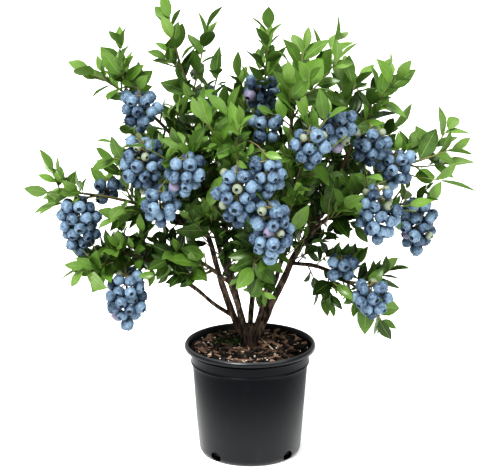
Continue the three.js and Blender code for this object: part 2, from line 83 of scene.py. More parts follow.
SEED = 7007
HASH_MASK = 0xFFFFFFFF
HASH_STEP = 0x9E3779B9
HASH_ROUNDS = ((0x85EBCA6B, 13), (0xC2B2AE35, 16))


class Draw(Enum):
    """Which draw of the seeded rule a number is for."""

    LEAF_TURN = 1
    LEAF_ANGLE = 2
    LEAF_LENGTH = 3
    LEAF_FORM = 4
    LEAF_TONE = 5
    LEAF_ROLL = 6
    SHOOT_TURN = 11
    SHOOT_LENGTH = 12
    RING_TURN = 21
    BERRY_SIZE = 22
    BERRY_SHIFT = 23
    BERRY_RIPENESS = 24
    BERRY_BLOOM = 25
    BERRY_TILT = 26
    ON_SHOOT = 31
    ON_SPUR = 32
    ON_TWIG = 41
    ON_STALK = 42
    UNDERWOOD = 51
    GROUND = 61


Keys = tuple[int | Draw, ...]


def chance(*keys: int | Draw) -> float:
    """Draws a number that depends only on the seed and the keys.

    Args:
        keys: Whole numbers or draws that name what the number is for.

    Returns:
        A number from 0 to 1.
    """
    h = SEED
    for key in keys:
        value = key.value if isinstance(key, Draw) else key
        h ^= (value + HASH_STEP) & HASH_MASK
        for factor, shift in HASH_ROUNDS:
            h = h * factor & HASH_MASK
            h ^= h >> shift
    return h / (HASH_MASK + 1)


def spread(low: float, high: float, *keys: int | Draw) -> float:
    """Draws a number from low to high for the keys."""
    return low + (high - low) * chance(*keys)


# ------------------------ directions and curves

FAR_SIDE = 0.3
NEARLY_STRAIGHT = 0.05
SLANT = np.array([0.6, 0.8, 0.1])


def unit(v: Vec) -> Vec:
    """Scales a vector to length one."""
    return v / np.linalg.norm(v)


def between(pair: Pair, share: float | Vec) -> float | Vec:
    """Gives the value, or the values, at a share of the way from a pair's first number to its second."""
    return pair[0] + (pair[1] - pair[0]) * share


def place(turn: float, out: float, up: float) -> Vec:
    """Gives a place round the plant.

    Args:
        turn: Degrees anticlockwise from +X.
        out: Distance from the pot's axis.
        up: Height over the floor.

    Returns:
        The point, in millimetres.
    """
    angle = math.radians(turn)
    return np.array([out * math.cos(angle), out * math.sin(angle), up])


def leaning(turn: float, lean: float) -> Vec:
    """Gives the direction that leans by so many degrees from upright towards a turn."""
    return place(turn, math.sin(math.radians(lean)), math.cos(math.radians(lean)))


def outward_at(point: Vec) -> Vec:
    """Gives the level direction from the pot's axis to a point."""
    return unit(np.array([point[0], point[1], 0.0]))


def is_far(outward: Vec) -> bool:
    """Tells whether a level direction points to the crown's far side, where no light comes from the front."""
    return outward[1] >= FAR_SIDE


def light_on(point: Vec) -> Vec:
    """Gives the way that leaves face: up, out of the crown and, but for its far side, forward.

    Args:
        point: Where they are.

    Returns:
        The direction, of length one.
    """
    from_above, from_outside, from_front = 0.8, 0.5, 0.8
    outward = outward_at(point)
    light = UP * from_above + outward * from_outside
    return unit(light if is_far(outward) else light + FRONT * from_front)


def flat_turn(v: Vec) -> float:
    """Gives the turn of a vector in plan, in degrees."""
    return math.degrees(math.atan2(v[1], v[0]))


def square_to(direction: Vec, reference: Vec) -> tuple[Vec, Vec]:
    """Gives two unit vectors square to a direction, the first as near to the reference as it can be."""
    side = unit(reference - direction * (reference @ direction))
    return side, np.cross(side, direction)


@dataclass(frozen=True)
class Sweep:
    """A curve that leaves its start along one direction and reaches its end along another."""

    start: Vec
    start_direction: Vec
    end: Vec
    end_direction: Vec
    first: float = 0.0  # the share of the whole curve at which this stretch of it begins
    last: float = 1.0  # the share at which it ends

    def _controls(self) -> Vec:
        """Gives the four control points of the cubic."""
        pull = np.linalg.norm(self.end - self.start) / 3
        near, far = self.start + self.start_direction * pull, self.end - self.end_direction * pull
        return np.array([self.start, near, far, self.end])

    def _along(self, share: float | Vec) -> Vec:
        """Gives the whole curve's own shares, one a row, at shares of the stretch."""
        return between((self.first, self.last), np.asarray(share, float))[..., None]

    def at(self, share: float | Vec) -> Vec:
        """Gives the point, or the points, at a share of the stretch."""
        t = self._along(share)
        weights = np.concatenate([(1 - t) ** 3, 3 * t * (1 - t) ** 2, 3 * t**2 * (1 - t), t**3], -1)
        return weights @ self._controls()

    def tangent(self, share: float | Vec) -> Vec:
        """Works out the curve's tangents.

        Args:
            share: The share of the stretch, or the shares.

        Returns:
            The unit tangent, or one a row.
        """
        t = self._along(share)
        weights = np.concatenate([3 * (1 - t) ** 2, 6 * t * (1 - t), 3 * t**2], -1)
        slopes = weights @ np.diff(self._controls(), axis=0)
        return slopes / np.linalg.norm(slopes, axis=-1, keepdims=True)

    def length(self, stations: int = 40) -> float:
        """Gives the stretch's length, measured between stations."""
        steps = np.diff(self.at(np.linspace(0, 1, stations)), axis=0)
        return float(np.linalg.norm(steps, axis=1).sum())

    def stretch(self, first: float, last: float = 1.0) -> "Sweep":
        """Gives the part of the whole curve between two shares of it."""
        return replace(self, first=first, last=last)

    def reference(self) -> Vec:
        """Gives a direction that no tangent comes near, square to the bend, or a slant if it is straight."""
        bend = np.cross(self.tangent(0.0), self.tangent(1.0))
        if np.linalg.norm(bend) < NEARLY_STRAIGHT:
            bend = np.cross(self.tangent(0.0), SLANT)
        return unit(bend)

    def leaving(self, share: float, angle: float, turn: float) -> tuple[Vec, Vec]:
        """Gives the direction that leaves the curve at a share of it.

        Args:
            share: Where on the stretch.
            angle: Radians from the tangent.
            turn: Radians round the tangent.

        Returns:
            The direction, and the direction square to it that looks back at the curve.
        """
        tangent = self.tangent(share)
        side, other = square_to(tangent, self.reference())
        outward = side * math.cos(turn) + other * math.sin(turn)
        along = tangent * math.cos(angle) + outward * math.sin(angle)
        return along, tangent * math.sin(angle) - outward * math.cos(angle)


# ------------------------ the plant's tables

BASE_FOOT = 157 + GAP  # where the woody base is cut flat, at the soil
BOUGH_SHARE = 0.3  # how much of a forked branch is bare bough
SOLID_LEAF = 62.0  # a leaf's length in the solids
LEAF_SHARE = 0.8  # how much of the last leaf stands past the end of the solids' wood
TIP_RUN = 12.0  # how much further wood runs here than in the solids
RING_RISE = 17.5  # from one ring of the solids' fruit to the next
LAST_DROP = 16.5  # from the last ring down to the fruit under it
FULL_DROP = 8.0  # how much lower a bunch of more than two rings hangs here


@dataclass(frozen=True)
class Stem:
    """A stem: its foot's turn and lean, its tip and the lean there, and its radius at foot and tip."""

    name: str
    turn: float
    lean: float
    tip: Vec
    tip_lean: float
    radii: Pair


@dataclass(frozen=True)
class Truss:
    """A bunch of fruit: its middle and its rings of fruit in the solids."""

    middle: Vec
    rings: int

    def top(self) -> Vec:
        """Gives the middle of its first level of fruit."""
        return self.middle + UP * self.rings * RING_RISE / 2

    def drop(self) -> float:
        """Gives how far its last berry hangs under that."""
        return (self.rings - 1) * RING_RISE + LAST_DROP + (FULL_DROP if self.rings > 2 else 0)


@dataclass(frozen=True)
class Branch:
    """A branch: the stem it leaves and how far up, its last leaf's tip, the slope there, and its bunches."""

    name: str
    stem: str
    at: float
    tip: Vec
    slope: float
    trusses: tuple[Truss, ...]


def branch(name: str, stem: str, at: float, tip: Vec, slope: float, *trusses: tuple[float, ...]) -> Branch:
    """Makes a branch, with each bunch as its turn, distance out, height and rings."""
    return Branch(name, stem, at, tip, slope, tuple(Truss(place(*row[:3]), row[3]) for row in trusses))


STEMS = (
    Stem("stem_right", 0, 28, place(3, 124, 378), 46, (6.8, 3.9)),
    Stem("stem_left", 182, 31, place(186, 72, 352), 26, (6.2, 3.6)),
    Stem("stem_left_back", 130, 26, place(135, 60, 385), 2, (5.6, 3.4)),
    Stem("stem_back", 86, 22, place(84, 78, 350), 12, (5, 3.2)),
    Stem("stem_back_right", 42, 26, place(36, 92, 345), 26, (4.6, 3)),
    Stem("stem_front", 302, 22, place(300, 85, 335), 24, (4.4, 2.9)),
    Stem("stem_front_left", 238, 20, place(236, 80, 330), 22, (4.4, 2.9)),
)
MAIN_STEMS = 2  # the first ones, which show from foot to crown

BRANCHES = (
    branch("right_reach", "stem_right", 1, place(0, 318, 464), 22, (-8, 205, 425, 2)),
    branch("right_low_reach", "stem_right", 0.88, place(4, 296, 372), 5, (2, 238, 338, 3)),
    branch("right_upper", "stem_right", 0.78, place(2, 208, 588), 62, (-14, 172, 462, 2)),
    branch("right_front", "stem_right", 0.66, place(-26, 236, 440), 25, (-27, 197, 380, 3)),
    branch(
        "right_low", "stem_right", 0.52, place(-17, 209, 184), -60, (-23, 184, 250, 2), (-24, 140, 292, 1)
    ),
    branch("left_shoulder", "stem_left", 1, place(-147, 205, 520), 48, (-147, 172, 448, 3)),
    branch(
        "left_reach", "stem_left", 0.84, place(-175, 321, 396), 2, (-170, 242, 350, 3), (180, 200, 392, 1)
    ),
    branch("left_low", "stem_left", 0.2, place(-165, 272, 272), -35, (-155, 190, 256, 3)),
    branch("top_left", "stem_left_back", 1, place(172, 120, 640), 74, (136, 96, 508, 1)),
    branch("left_upper", "stem_left_back", 0.88, place(-178, 254, 579), 30, (-162, 158, 512, 2)),
    branch("back_left", "stem_left_back", 0.66, place(137, 266, 457), 18, (138, 200, 400, 2)),
    branch("top", "stem_back", 1, place(12, 26, 656), 84, (70, 46, 515, 2)),
    branch("back", "stem_back", 0.86, place(92, 262, 498), 28, (96, 196, 440, 2)),
    branch("back_low", "stem_back", 0.6, place(78, 262, 320), -12, (74, 200, 300, 2)),
    branch("back_right_top", "stem_back_right", 1, place(30, 205, 560), 52, (48, 165, 486, 1)),
    branch("back_right", "stem_back_right", 0.76, place(44, 272, 425), 12, (42, 205, 375, 2)),
    branch(
        "right_shoulder", "stem_front", 1, place(-46, 178, 548), 50, (-63, 172, 484, 2), (-38, 150, 494, 2)
    ),
    branch("top_right", "stem_front", 0.88, place(-16, 86, 632), 72, (-70, 62, 492, 1)),
    branch("front_low", "stem_front", 0.7, place(-91, 190, 292), -45, (-82, 200, 384, 3)),
    branch(
        "front", "stem_front_left", 0.72, place(-93, 172, 548), 56, (-95, 193, 430, 3), (-83, 183, 452, 2)
    ),
    branch(
        "left_front", "stem_front_left", 1, place(-123, 196, 512), 40,
        (-119, 175, 446, 2), (-131, 184, 400, 2),
    ),
    branch("left_inner", "stem_front_left", 0.6, place(-140, 186, 318), 0),
)


@dataclass(frozen=True)
class SprayLook:
    """How a spray is dressed."""

    shoots: int = 7
    spurs: int = 4
    tone: float = 0.5  # its leaves' green, from 0, deep, to 1, light: partly their own green, partly painted shade, deeper low and inside the crown
    leaf: float = 1.0  # a factor on the length of its leaves
    lowest: float = 0.0  # the lowest that its side shoots hang


# Each spray's tone is partly its leaves' own green and partly painted shade: deeper low and inside the crown,
# lighter at the top.
LOOKS = {
    "top": SprayLook(shoots=6, tone=0.6),
    "top_left": SprayLook(shoots=6, tone=0.55),
    "top_right": SprayLook(shoots=5, spurs=3, tone=0.6),
    "right_upper": SprayLook(shoots=4, spurs=3, tone=0.6),
    "left_upper": SprayLook(shoots=4, spurs=2, tone=0.6, leaf=1.08, lowest=528),
    "left_shoulder": SprayLook(tone=0.65),
    "right_shoulder": SprayLook(shoots=4, spurs=3, tone=0.65),
    "front": SprayLook(tone=0.65),
    "right_reach": SprayLook(shoots=3, spurs=2, tone=0.7, leaf=1.12),
    "right_low_reach": SprayLook(shoots=5, spurs=3, tone=0.55),
    "left_reach": SprayLook(shoots=8, spurs=7, tone=0.6, leaf=1.08),
    "front_low": SprayLook(shoots=2, spurs=3, tone=0.35, leaf=1.06, lowest=272),
    "left_inner": SprayLook(shoots=6, spurs=6, tone=0.25, lowest=285),
    "left_low": SprayLook(shoots=11, spurs=8, tone=0.3, leaf=1.08),
    "right_low": SprayLook(shoots=7, spurs=5, tone=0.25, leaf=1.06, lowest=258),
    "back_low": SprayLook(tone=0.3),
    "back_right": SprayLook(tone=0.4),
}


# ------------------------ limbs and the sprays' spaces


@dataclass(frozen=True)
class Limb:
    """A woody limb: its curve and its radius at the foot and at the tip."""

    name: str
    curve: Sweep
    radii: Pair


def stem_curve(stem: Stem) -> Sweep:
    """Works out a stem's curve, from inside the base to its tip.

    Args:
        stem: Its row of the table.

    Returns:
        The curve.
    """
    out, up = 5.8, 11.0
    start = place(stem.turn, out, BASE_FOOT + up)
    return Sweep(start, leaning(stem.turn, stem.lean), stem.tip, leaning(flat_turn(stem.tip), stem.tip_lean))


def branch_curve(row: Branch, stem: Sweep) -> Sweep:
    """Gives a branch's curve, from its fork to the end of its wood.

    Args:
        row: The branch.
        stem: The curve of the stem that carries it.

    Returns:
        The curve. A branch at the stem's tip goes straight on.
    """
    onward = stem.tangent(float(row.at))
    start = stem.at(float(row.at))
    outward = unit(row.tip - start)
    last = leaning(flat_turn(outward), 90 - row.slope)
    wood_end = row.tip - last * SOLID_LEAF * LEAF_SHARE
    if row.at == 1:
        return Sweep(start + onward * GAP, onward, wood_end, last)
    return Sweep(start, unit(onward * 0.55 + outward * 0.75), wood_end, last)


@dataclass
class Skeleton:
    """The stems, the bare boughs and the twigs that the sprays grow on."""

    bough_radii: Pair = (3.6, 3.1)  # at its fork, where the stem is thick enough, and at its tip
    bough_to_stem: float = 0.72  # how thick it is at its fork, at most, against the stem there
    twig_radii: Pair = (3.0, 1.0)
    leader_to_stem: float = 0.95  # how thick the foot of a twig on a stem's tip is, against the stem
    stems: list[Limb] = field(init=False)
    boughs: list[Limb] = field(init=False, default_factory=list)
    twigs: list[Limb] = field(init=False, default_factory=list)

    def __post_init__(self) -> None:
        """Works out every limb's curve from the tables."""
        self.stems = [Limb(stem.name, stem_curve(stem), stem.radii) for stem in STEMS]
        by_name = {limb.name: limb for limb in self.stems}
        for row in BRANCHES:
            stem = by_name[row.stem]
            curve = branch_curve(row, stem.curve)
            stem_radius = between(stem.radii, row.at)
            foot, tip = self.twig_radii
            share = BOUGH_SHARE
            if row.at == 1:
                foot, share = stem_radius * self.leader_to_stem, 0
            else:
                radii = (min(self.bough_radii[0], stem_radius * self.bough_to_stem), self.bough_radii[1])
                self.boughs.append(Limb("bough_" + row.name, curve.stretch(0, BOUGH_SHARE), radii))
            twig = curve.stretch(share, 1 + TIP_RUN / curve.length())
            self.twigs.append(Limb("spray_" + row.name, twig, (foot, tip)))


@dataclass(frozen=True)
class Window:
    """Air in front of a bunch or a bare stem, which leaves keep out of."""

    middle: Vec
    half_height: float  # of what it shows
    facing: Vec
    reach: float
    half_width: float


@dataclass
class Space:
    """Tells whose space a point is in: that of the spray whose wood and fruit are nearest."""

    skeleton: Skeleton
    overlap: float = 6.0  # how far a spray may reach into the next one's space
    limb_clearance: float = 1.0
    bare_middle: float = -36.0  # along X, of the leafless room round the stems' feet
    bare_reach: float = 97.0
    bare_height: float = 272.0
    fruit_light: Pair = (130.0, 23.0)  # how far the air in front of a bunch reaches, and half its width
    stem_light: Pair = (260.0, 9.0)
    stem_half_height: float = 5.0  # of each bit of a main stem that is shown
    stem_shown: tuple[float, float, int] = (0.3, 0.95, 9)  # from where to where, and in how many bits
    light_slope: float = 0.25  # how much a window rises on its way out
    lid: float = 2.0  # how far a window's top is under that of what it shows

    def __post_init__(self) -> None:
        """Marks each spray's wood and bunches, every limb's centre line, and the windows."""
        groups = []
        for row, twig in zip(BRANCHES, self.skeleton.twigs, strict=True):
            groups.append(np.array([*twig.curve.at(np.linspace(0, 1, 15)), *[t.middle for t in row.trusses]]))
        self.marks = np.concatenate(groups)
        self.starts = np.cumsum([0] + [len(group) for group in groups[:-1]])
        shares = np.linspace(0, 1, 25)
        limbs = [*self.skeleton.stems, *self.skeleton.boughs]
        self.limb_points = np.concatenate([limb.curve.at(shares) for limb in limbs])
        self.limb_radii = np.concatenate([np.interp(shares, [0, 1], limb.radii) for limb in limbs])
        self.low, self.high = (np.array(corner) / MM for corner in CAD_BOX)
        windows = self._windows()
        self.middles = np.array([window.middle for window in windows])
        self.half_heights = np.array([window.half_height for window in windows])
        self.facings = np.array([window.facing for window in windows])
        self.reaches = np.array([window.reach for window in windows])
        self.half_widths = np.array([window.half_width for window in windows])

    def _windows(self) -> list[Window]:
        """Opens windows from each bunch, outwards and forward, and from the main stems, forward."""
        windows = []
        for truss in (truss for row in BRANCHES for truss in row.trusses):
            outward = outward_at(truss.middle)
            half_height = truss.rings * RING_RISE / 2
            for facing in (outward, outward if is_far(outward) else FRONT):
                windows.append(Window(truss.middle, half_height, facing, *self.fruit_light))
        for stem in self.skeleton.stems[:MAIN_STEMS]:
            for point in stem.curve.at(np.linspace(*self.stem_shown)):
                windows.append(Window(point, self.stem_half_height, FRONT, *self.stem_light))
        return windows

    def is_open(self, points: Vec) -> bool:
        """Tells whether points are off the limbs, in the solids' box, and not among the stems' bare feet.

        Args:
            points: The points, one a row.

        Returns:
            True if all of them are.
        """
        from_feet = np.hypot(points[:, 0] - self.bare_middle, points[:, 1])
        if np.any((from_feet < self.bare_reach) & (points[:, 2] < self.bare_height)):
            return False
        off = np.linalg.norm(points[:, None] - self.limb_points[None], axis=2)
        if np.any(off < self.limb_radii + self.limb_clearance):
            return False
        return bool(np.all(points > self.low) and np.all(points < self.high))

    def is_shading(self, points: Vec) -> bool:
        """Tells whether points stand between the light and a bunch or a main stem, where leaves give way.

        Args:
            points: The points, one a row.

        Returns:
            True if any of them does.
        """
        off = points[:, None] - self.middles[None]
        ahead = (off * self.facings[None]).sum(axis=2)
        aside = np.linalg.norm((off - self.facings[None] * ahead[..., None])[..., :2], axis=2)
        over = off[..., 2] - ahead * self.light_slope
        is_level = (over < self.half_heights - self.lid) & (over > -self.half_heights - LAST_DROP)
        return bool(np.any((ahead > 0) & (ahead < self.reaches) & (aside < self.half_widths) & is_level))

    def keeps(self, number: int, points: Vec) -> bool:
        """Tells whether points keep to a spray's space.

        Args:
            number: The spray's number.
            points: The points, one a row.

        Returns:
            True if all of them do.
        """
        away = np.linalg.norm(points[:, None] - self.marks[None], axis=2)
        near = np.minimum.reduceat(away, self.starts, axis=1)
        own = near[:, number].copy()
        near[:, number] = np.inf
        return not np.any(own - self.overlap > near.min(axis=1))


# ------------------------ sprays

LEAF_MIDDLE = 0.55
LEAF_EDGE = 0.2
NEAR_TIP = 0.8


@dataclass(frozen=True)
class Leaf:
    """A leaf: its root, the way it points, the way its face looks, its length, form, youth, and green, partly
    painted shade.
    """

    root: Vec
    along: Vec
    face: Vec
    length: float
    form: int
    tone: float
    youth: float

    @property
    def middle(self) -> Vec:
        """Gives the middle of its blade."""
        return self.root + self.along * self.length * LEAF_MIDDLE

    def probes(self) -> Vec:
        """Gives the points that have to be clear: its middle, its edges there, its tip, and one near that."""
        across = np.cross(self.along, self.face) * self.length * LEAF_EDGE
        ahead = self.along * self.length
        middle, tip = self.middle, self.root + ahead
        return np.array([middle, middle + across, middle - across, self.root + ahead * NEAR_TIP, tip])


@dataclass(frozen=True)
class Twig:
    """A green or woody twig: its curve, its radius at foot and tip, and its youth there."""

    curve: Sweep
    radii: Pair
    youth: Pair


@dataclass(frozen=True)
class Berry:
    """A berry: its centre, the way its crown looks, its radius, its ripeness and its bloom."""

    centre: Vec
    looks: Vec
    radius: float
    ripeness: float
    bloom: float


@dataclass(frozen=True)
class LeafHabit:
    """How leaves sit on any twig. Angles are in degrees."""

    last_angle: float = 7.0  # from the twig, of the leaf at its tip
    angle: float = 50.0
    young_angle: float = 18.0  # how much less a young leaf has
    angle_spread: float = 10.0
    lift: float = 0.12
    inward: float = 0.55  # how far a face looks back at the twig
    roll: float = 34.0
    lengths: Pair = (0.76, 1.22)  # the least and the greatest factor on a leaf's length
    young_length: float = 0.25  # how much shorter a young leaf is
    sizes: tuple[float, ...] = (1.0, 0.8, 0.62)  # tried in turn until the leaf fits
    tone_spread: float = 0.36
    youth_run: float = 24.0  # how far back from the tip youth falls to a third
    crowding: float = 0.5  # how much closer young leaves stand


@dataclass(frozen=True)
class ShootKind:
    """A kind of twig, with its usual sizes and those of its leaves."""

    radii: Pair  # at foot and tip
    youth: Pair
    leaf: float
    spacing: float  # between its leaves
    bare: float  # the share of it, from its foot, that has none
    last_leaf: float = 0.85  # a factor on the leaf at its tip
    length: float = 0.0
    lengths: Pair = (0.7, 1.1)  # the least and the greatest factor on that
    angle: float = 0.0  # degrees from the wood it leaves
    lift: float = 0.0  # how far it turns up, against its length
    reach: float = 0.7  # the share of a spray's twig on which it breaks
    shift: float = 0.0  # how far on its places are, as a share of that
    turn: float = 0.0  # how far round the twig they are, in radians
    length_keys: Keys = ()


HABIT = LeafHabit()
TIP = ShootKind((3.0, 1.0), (0.0, 0.7), leaf=50, spacing=13.5, bare=0.25)
ARCH = ShootKind((1.1, 1.2), (0.1, 0.6), leaf=36, spacing=9, bare=0.1)
SHOOT = ShootKind(
    (1.5, 0.8), (0.35, 1.0), leaf=48, spacing=13.5, bare=0.12, last_leaf=0.95, length=90, angle=52, lift=0.25
)
SPUR = ShootKind(
    (1.0, 0.7), (0.35, 1.0), leaf=42, spacing=10, bare=0.12, length=32, angle=58, lift=0.3,
    reach=0.88, shift=0.27, turn=1.9, length_keys=(Draw.ON_SPUR,),
)
INNER = ShootKind(
    (1.1, 0.6), (0.1, 0.8), leaf=33, spacing=9.5, bare=0.2, length=54, lengths=(0.6, 1.25), angle=55, lift=0.5
)


@dataclass
class Growth:
    """Leaves and twigs as they grow, kept clear of fruit, limbs and one another."""

    number: int  # which its draws begin with
    space: Space
    tone: float  # its leaves' green, from 0, deep, to 1, light, partly painted shade
    leaf_factor: float = 1.0
    leaf_apart: float = 12.5  # the least distance between the middles of two leaves
    fruit_clearance: float = 1.5
    lowest: float = 0.0  # the lowest that what grows next may hang
    leaves: list[Leaf] = field(default_factory=list)
    twigs: list[Twig] = field(default_factory=list)
    stalks: list[Twig] = field(default_factory=list)
    berries: list[Berry] = field(default_factory=list)

    def _is_clear(self, points: Vec) -> bool:
        """Tells whether points are free of fruit and of limbs, inside the box, and in the right space."""
        for berry in self.berries:
            if np.any(np.linalg.norm(points - berry.centre, axis=1) < berry.radius + self.fruit_clearance):
                return False
        return points[:, 2].min() > self.lowest and self.space.is_open(points) and self._keeps(points)

    def _keeps(self, points: Vec) -> bool:
        """Tells whether points keep to this growth's own part of the crown."""
        raise NotImplementedError

    def _tone_at(self, root: Vec) -> float:
        """Gives the green of a leaf, partly painted shade, by where it springs."""
        return self.tone

    def _fits(self, leaf: Leaf) -> bool:
        """Tells whether a leaf would keep clear of the fruit, the limbs, other leaves and other sprays.

        Args:
            leaf: The leaf.

        Returns:
            True if it would.
        """
        middle = leaf.middle
        for other in self.leaves:
            if np.linalg.norm(middle - other.middle) < self.leaf_apart:
                return False
        points = leaf.probes()
        return self._is_clear(points) and not self.space.is_shading(points)

    def _full_leaf(
        self, kind: ShootKind, curve: Sweep, share: float, turn: float, youth: float, keys: Keys
    ) -> Leaf:
        """Makes a leaf of full size.

        Args:
            kind: The kind of twig that it springs from.
            curve: The twig's curve.
            share: Where on that it springs.
            turn: Radians round the twig.
            youth: Its youth.
            keys: The keys of its draws. The last is its number from the tip.

        Returns:
            The leaf.
        """
        is_last = keys[-1] == 0
        angle = HABIT.angle - HABIT.young_angle * youth
        angle += spread(-HABIT.angle_spread, HABIT.angle_spread, *keys, Draw.LEAF_ANGLE)
        along, inward = curve.leaving(share, math.radians(HABIT.last_angle if is_last else angle), turn)
        length = kind.leaf * self.leaf_factor * spread(*HABIT.lengths, *keys, Draw.LEAF_LENGTH)
        if is_last:
            length = SOLID_LEAF * LEAF_SHARE - TIP_RUN if kind is TIP else length * kind.last_leaf
        else:
            along = unit(along + UP * HABIT.lift)
            length *= 1 - HABIT.young_length * youth
        root = curve.at(share)
        face = inward * HABIT.inward + light_on(root)
        face = unit(face - along * (face @ along))
        roll = math.radians(spread(-HABIT.roll, HABIT.roll, *keys, Draw.LEAF_ROLL))
        face = unit(face * math.cos(roll) + np.cross(along, face) * math.sin(roll))
        form = int(chance(*keys, Draw.LEAF_FORM) * len(BLADES))
        # The tone of its place, partly painted shade, plus a spread at random.
        tone = self._tone_at(root) + spread(-HABIT.tone_spread, HABIT.tone_spread, *keys, Draw.LEAF_TONE)
        return Leaf(root, along, face, length, form, tone, youth)

    def _leaf_out(self, kind: ShootKind, curve: Sweep, keys: Keys) -> None:
        """Sets leaves round a twig by the golden angle, from its tip down to its bare part.

        Args:
            kind: The kind of twig.
            curve: Its curve.
            keys: The keys of its draws.
        """
        length = curve.length()
        first_turn = spread(0, FULL_TURN, *keys, Draw.LEAF_TURN)
        back = 0.0
        number = 0
        while back <= length * (1 - kind.bare):
            youth = math.exp(-back / HABIT.youth_run)
            turn = GOLDEN_TURN * number + first_turn
            full = self._full_leaf(kind, curve, 1 - back / length, turn, youth, (*keys, number))
            tries = (replace(full, length=full.length * size) for size in HABIT.sizes)
            fitting = next((leaf for leaf in tries if self._fits(leaf)), None)
            if fitting:
                self.leaves.append(fitting)
            back += kind.spacing * (1 - HABIT.crowding * youth)
            number += 1


@dataclass(frozen=True)
class UnderwoodLook:
    """How small shoots break from a group of limbs."""

    limbs: list[Limb]
    tone: float  # their leaves' green, as a spray's
    least: float  # their leaves' green, as a spray's; kept low inside the crown as painted shade
    most: float = 460.0  # the highest
    reach: float = 195.0  # how far from the pot's axis one may spread
    apart: float = 15.0  # along a limb


@dataclass(kw_only=True)
class Underwood(Growth):
    """Small shoots with leaves darkened by painted shade, breaking from the stems, boughs and twigs inside
    the crown.
    """

    look: UnderwoodLook
    place_spread: Pair = (-0.3, 0.3)  # how far one is off its place, in places
    lifts: Pair = (-0.6, 1.0)  # the least and the greatest factor on how far one turns up
    onward: float = 0.8  # how far it goes on in its first direction, against its length
    upturn: float = 1.5  # how steeply it ends, against how far it turns up
    painted_shade_fade: float = 0.9  # how fast the leaves' painted shade fades on the way out
    painted_shade_share: float = 0.5  # from where on, as a share of the reach; closer in, the leaves keep their painted shade

    def _keeps(self, points: Vec) -> bool:
        """Tells whether points stay inside the crown."""
        return bool(np.all(np.hypot(points[:, 0], points[:, 1]) < self.look.reach))

    def _tone_at(self, root: Vec) -> float:
        """Gives the green of a leaf: painted shade inside the crown, which fades from halfway out."""
        way_out = math.hypot(root[0], root[1]) / self.look.reach
        return self.tone + self.painted_shade_fade * max(0.0, way_out - self.painted_shade_share)

    def grow(self) -> None:
        """Grows shoots along every limb, turned round it by the golden angle."""
        for limb_number, limb in enumerate(self.look.limbs):
            count = int(limb.curve.length() / self.look.apart)
            for number in range(1, count):
                self._break(limb, limb_number, number, count)

    def _break(self, limb: Limb, limb_number: int, number: int, count: int) -> None:
        """Breaks a shoot from a limb, if there is room for it.

        Args:
            limb: The limb.
            limb_number: The limb's number in its group.
            number: The shoot's number on the limb.
            count: How many shoots the limb has.
        """
        keys = (self.number, limb_number, number, Draw.UNDERWOOD)
        share = (number + spread(*self.place_spread, *keys)) / count
        start = limb.curve.at(share)
        if not self.look.least < start[2] < self.look.most:
            return
        turn = GOLDEN_TURN * number + limb_number
        along, _ = limb.curve.leaving(share, math.radians(INNER.angle), turn)
        length = INNER.length * spread(*INNER.lengths, *keys, Draw.SHOOT_LENGTH)
        lift = INNER.lift * spread(*self.lifts, *keys, Draw.SHOOT_TURN)
        end = start + along * length * self.onward + UP * length * lift
        curve = Sweep(start, along, end, unit(along + UP * lift * self.upturn))
        outside = min(0.8, 0.3 + between(limb.radii, share) / length)
        if self._is_clear(curve.at(np.linspace(outside, 1, 4))):
            self.twigs.append(Twig(curve, INNER.radii, INNER.youth))
            self._leaf_out(INNER, curve, keys)


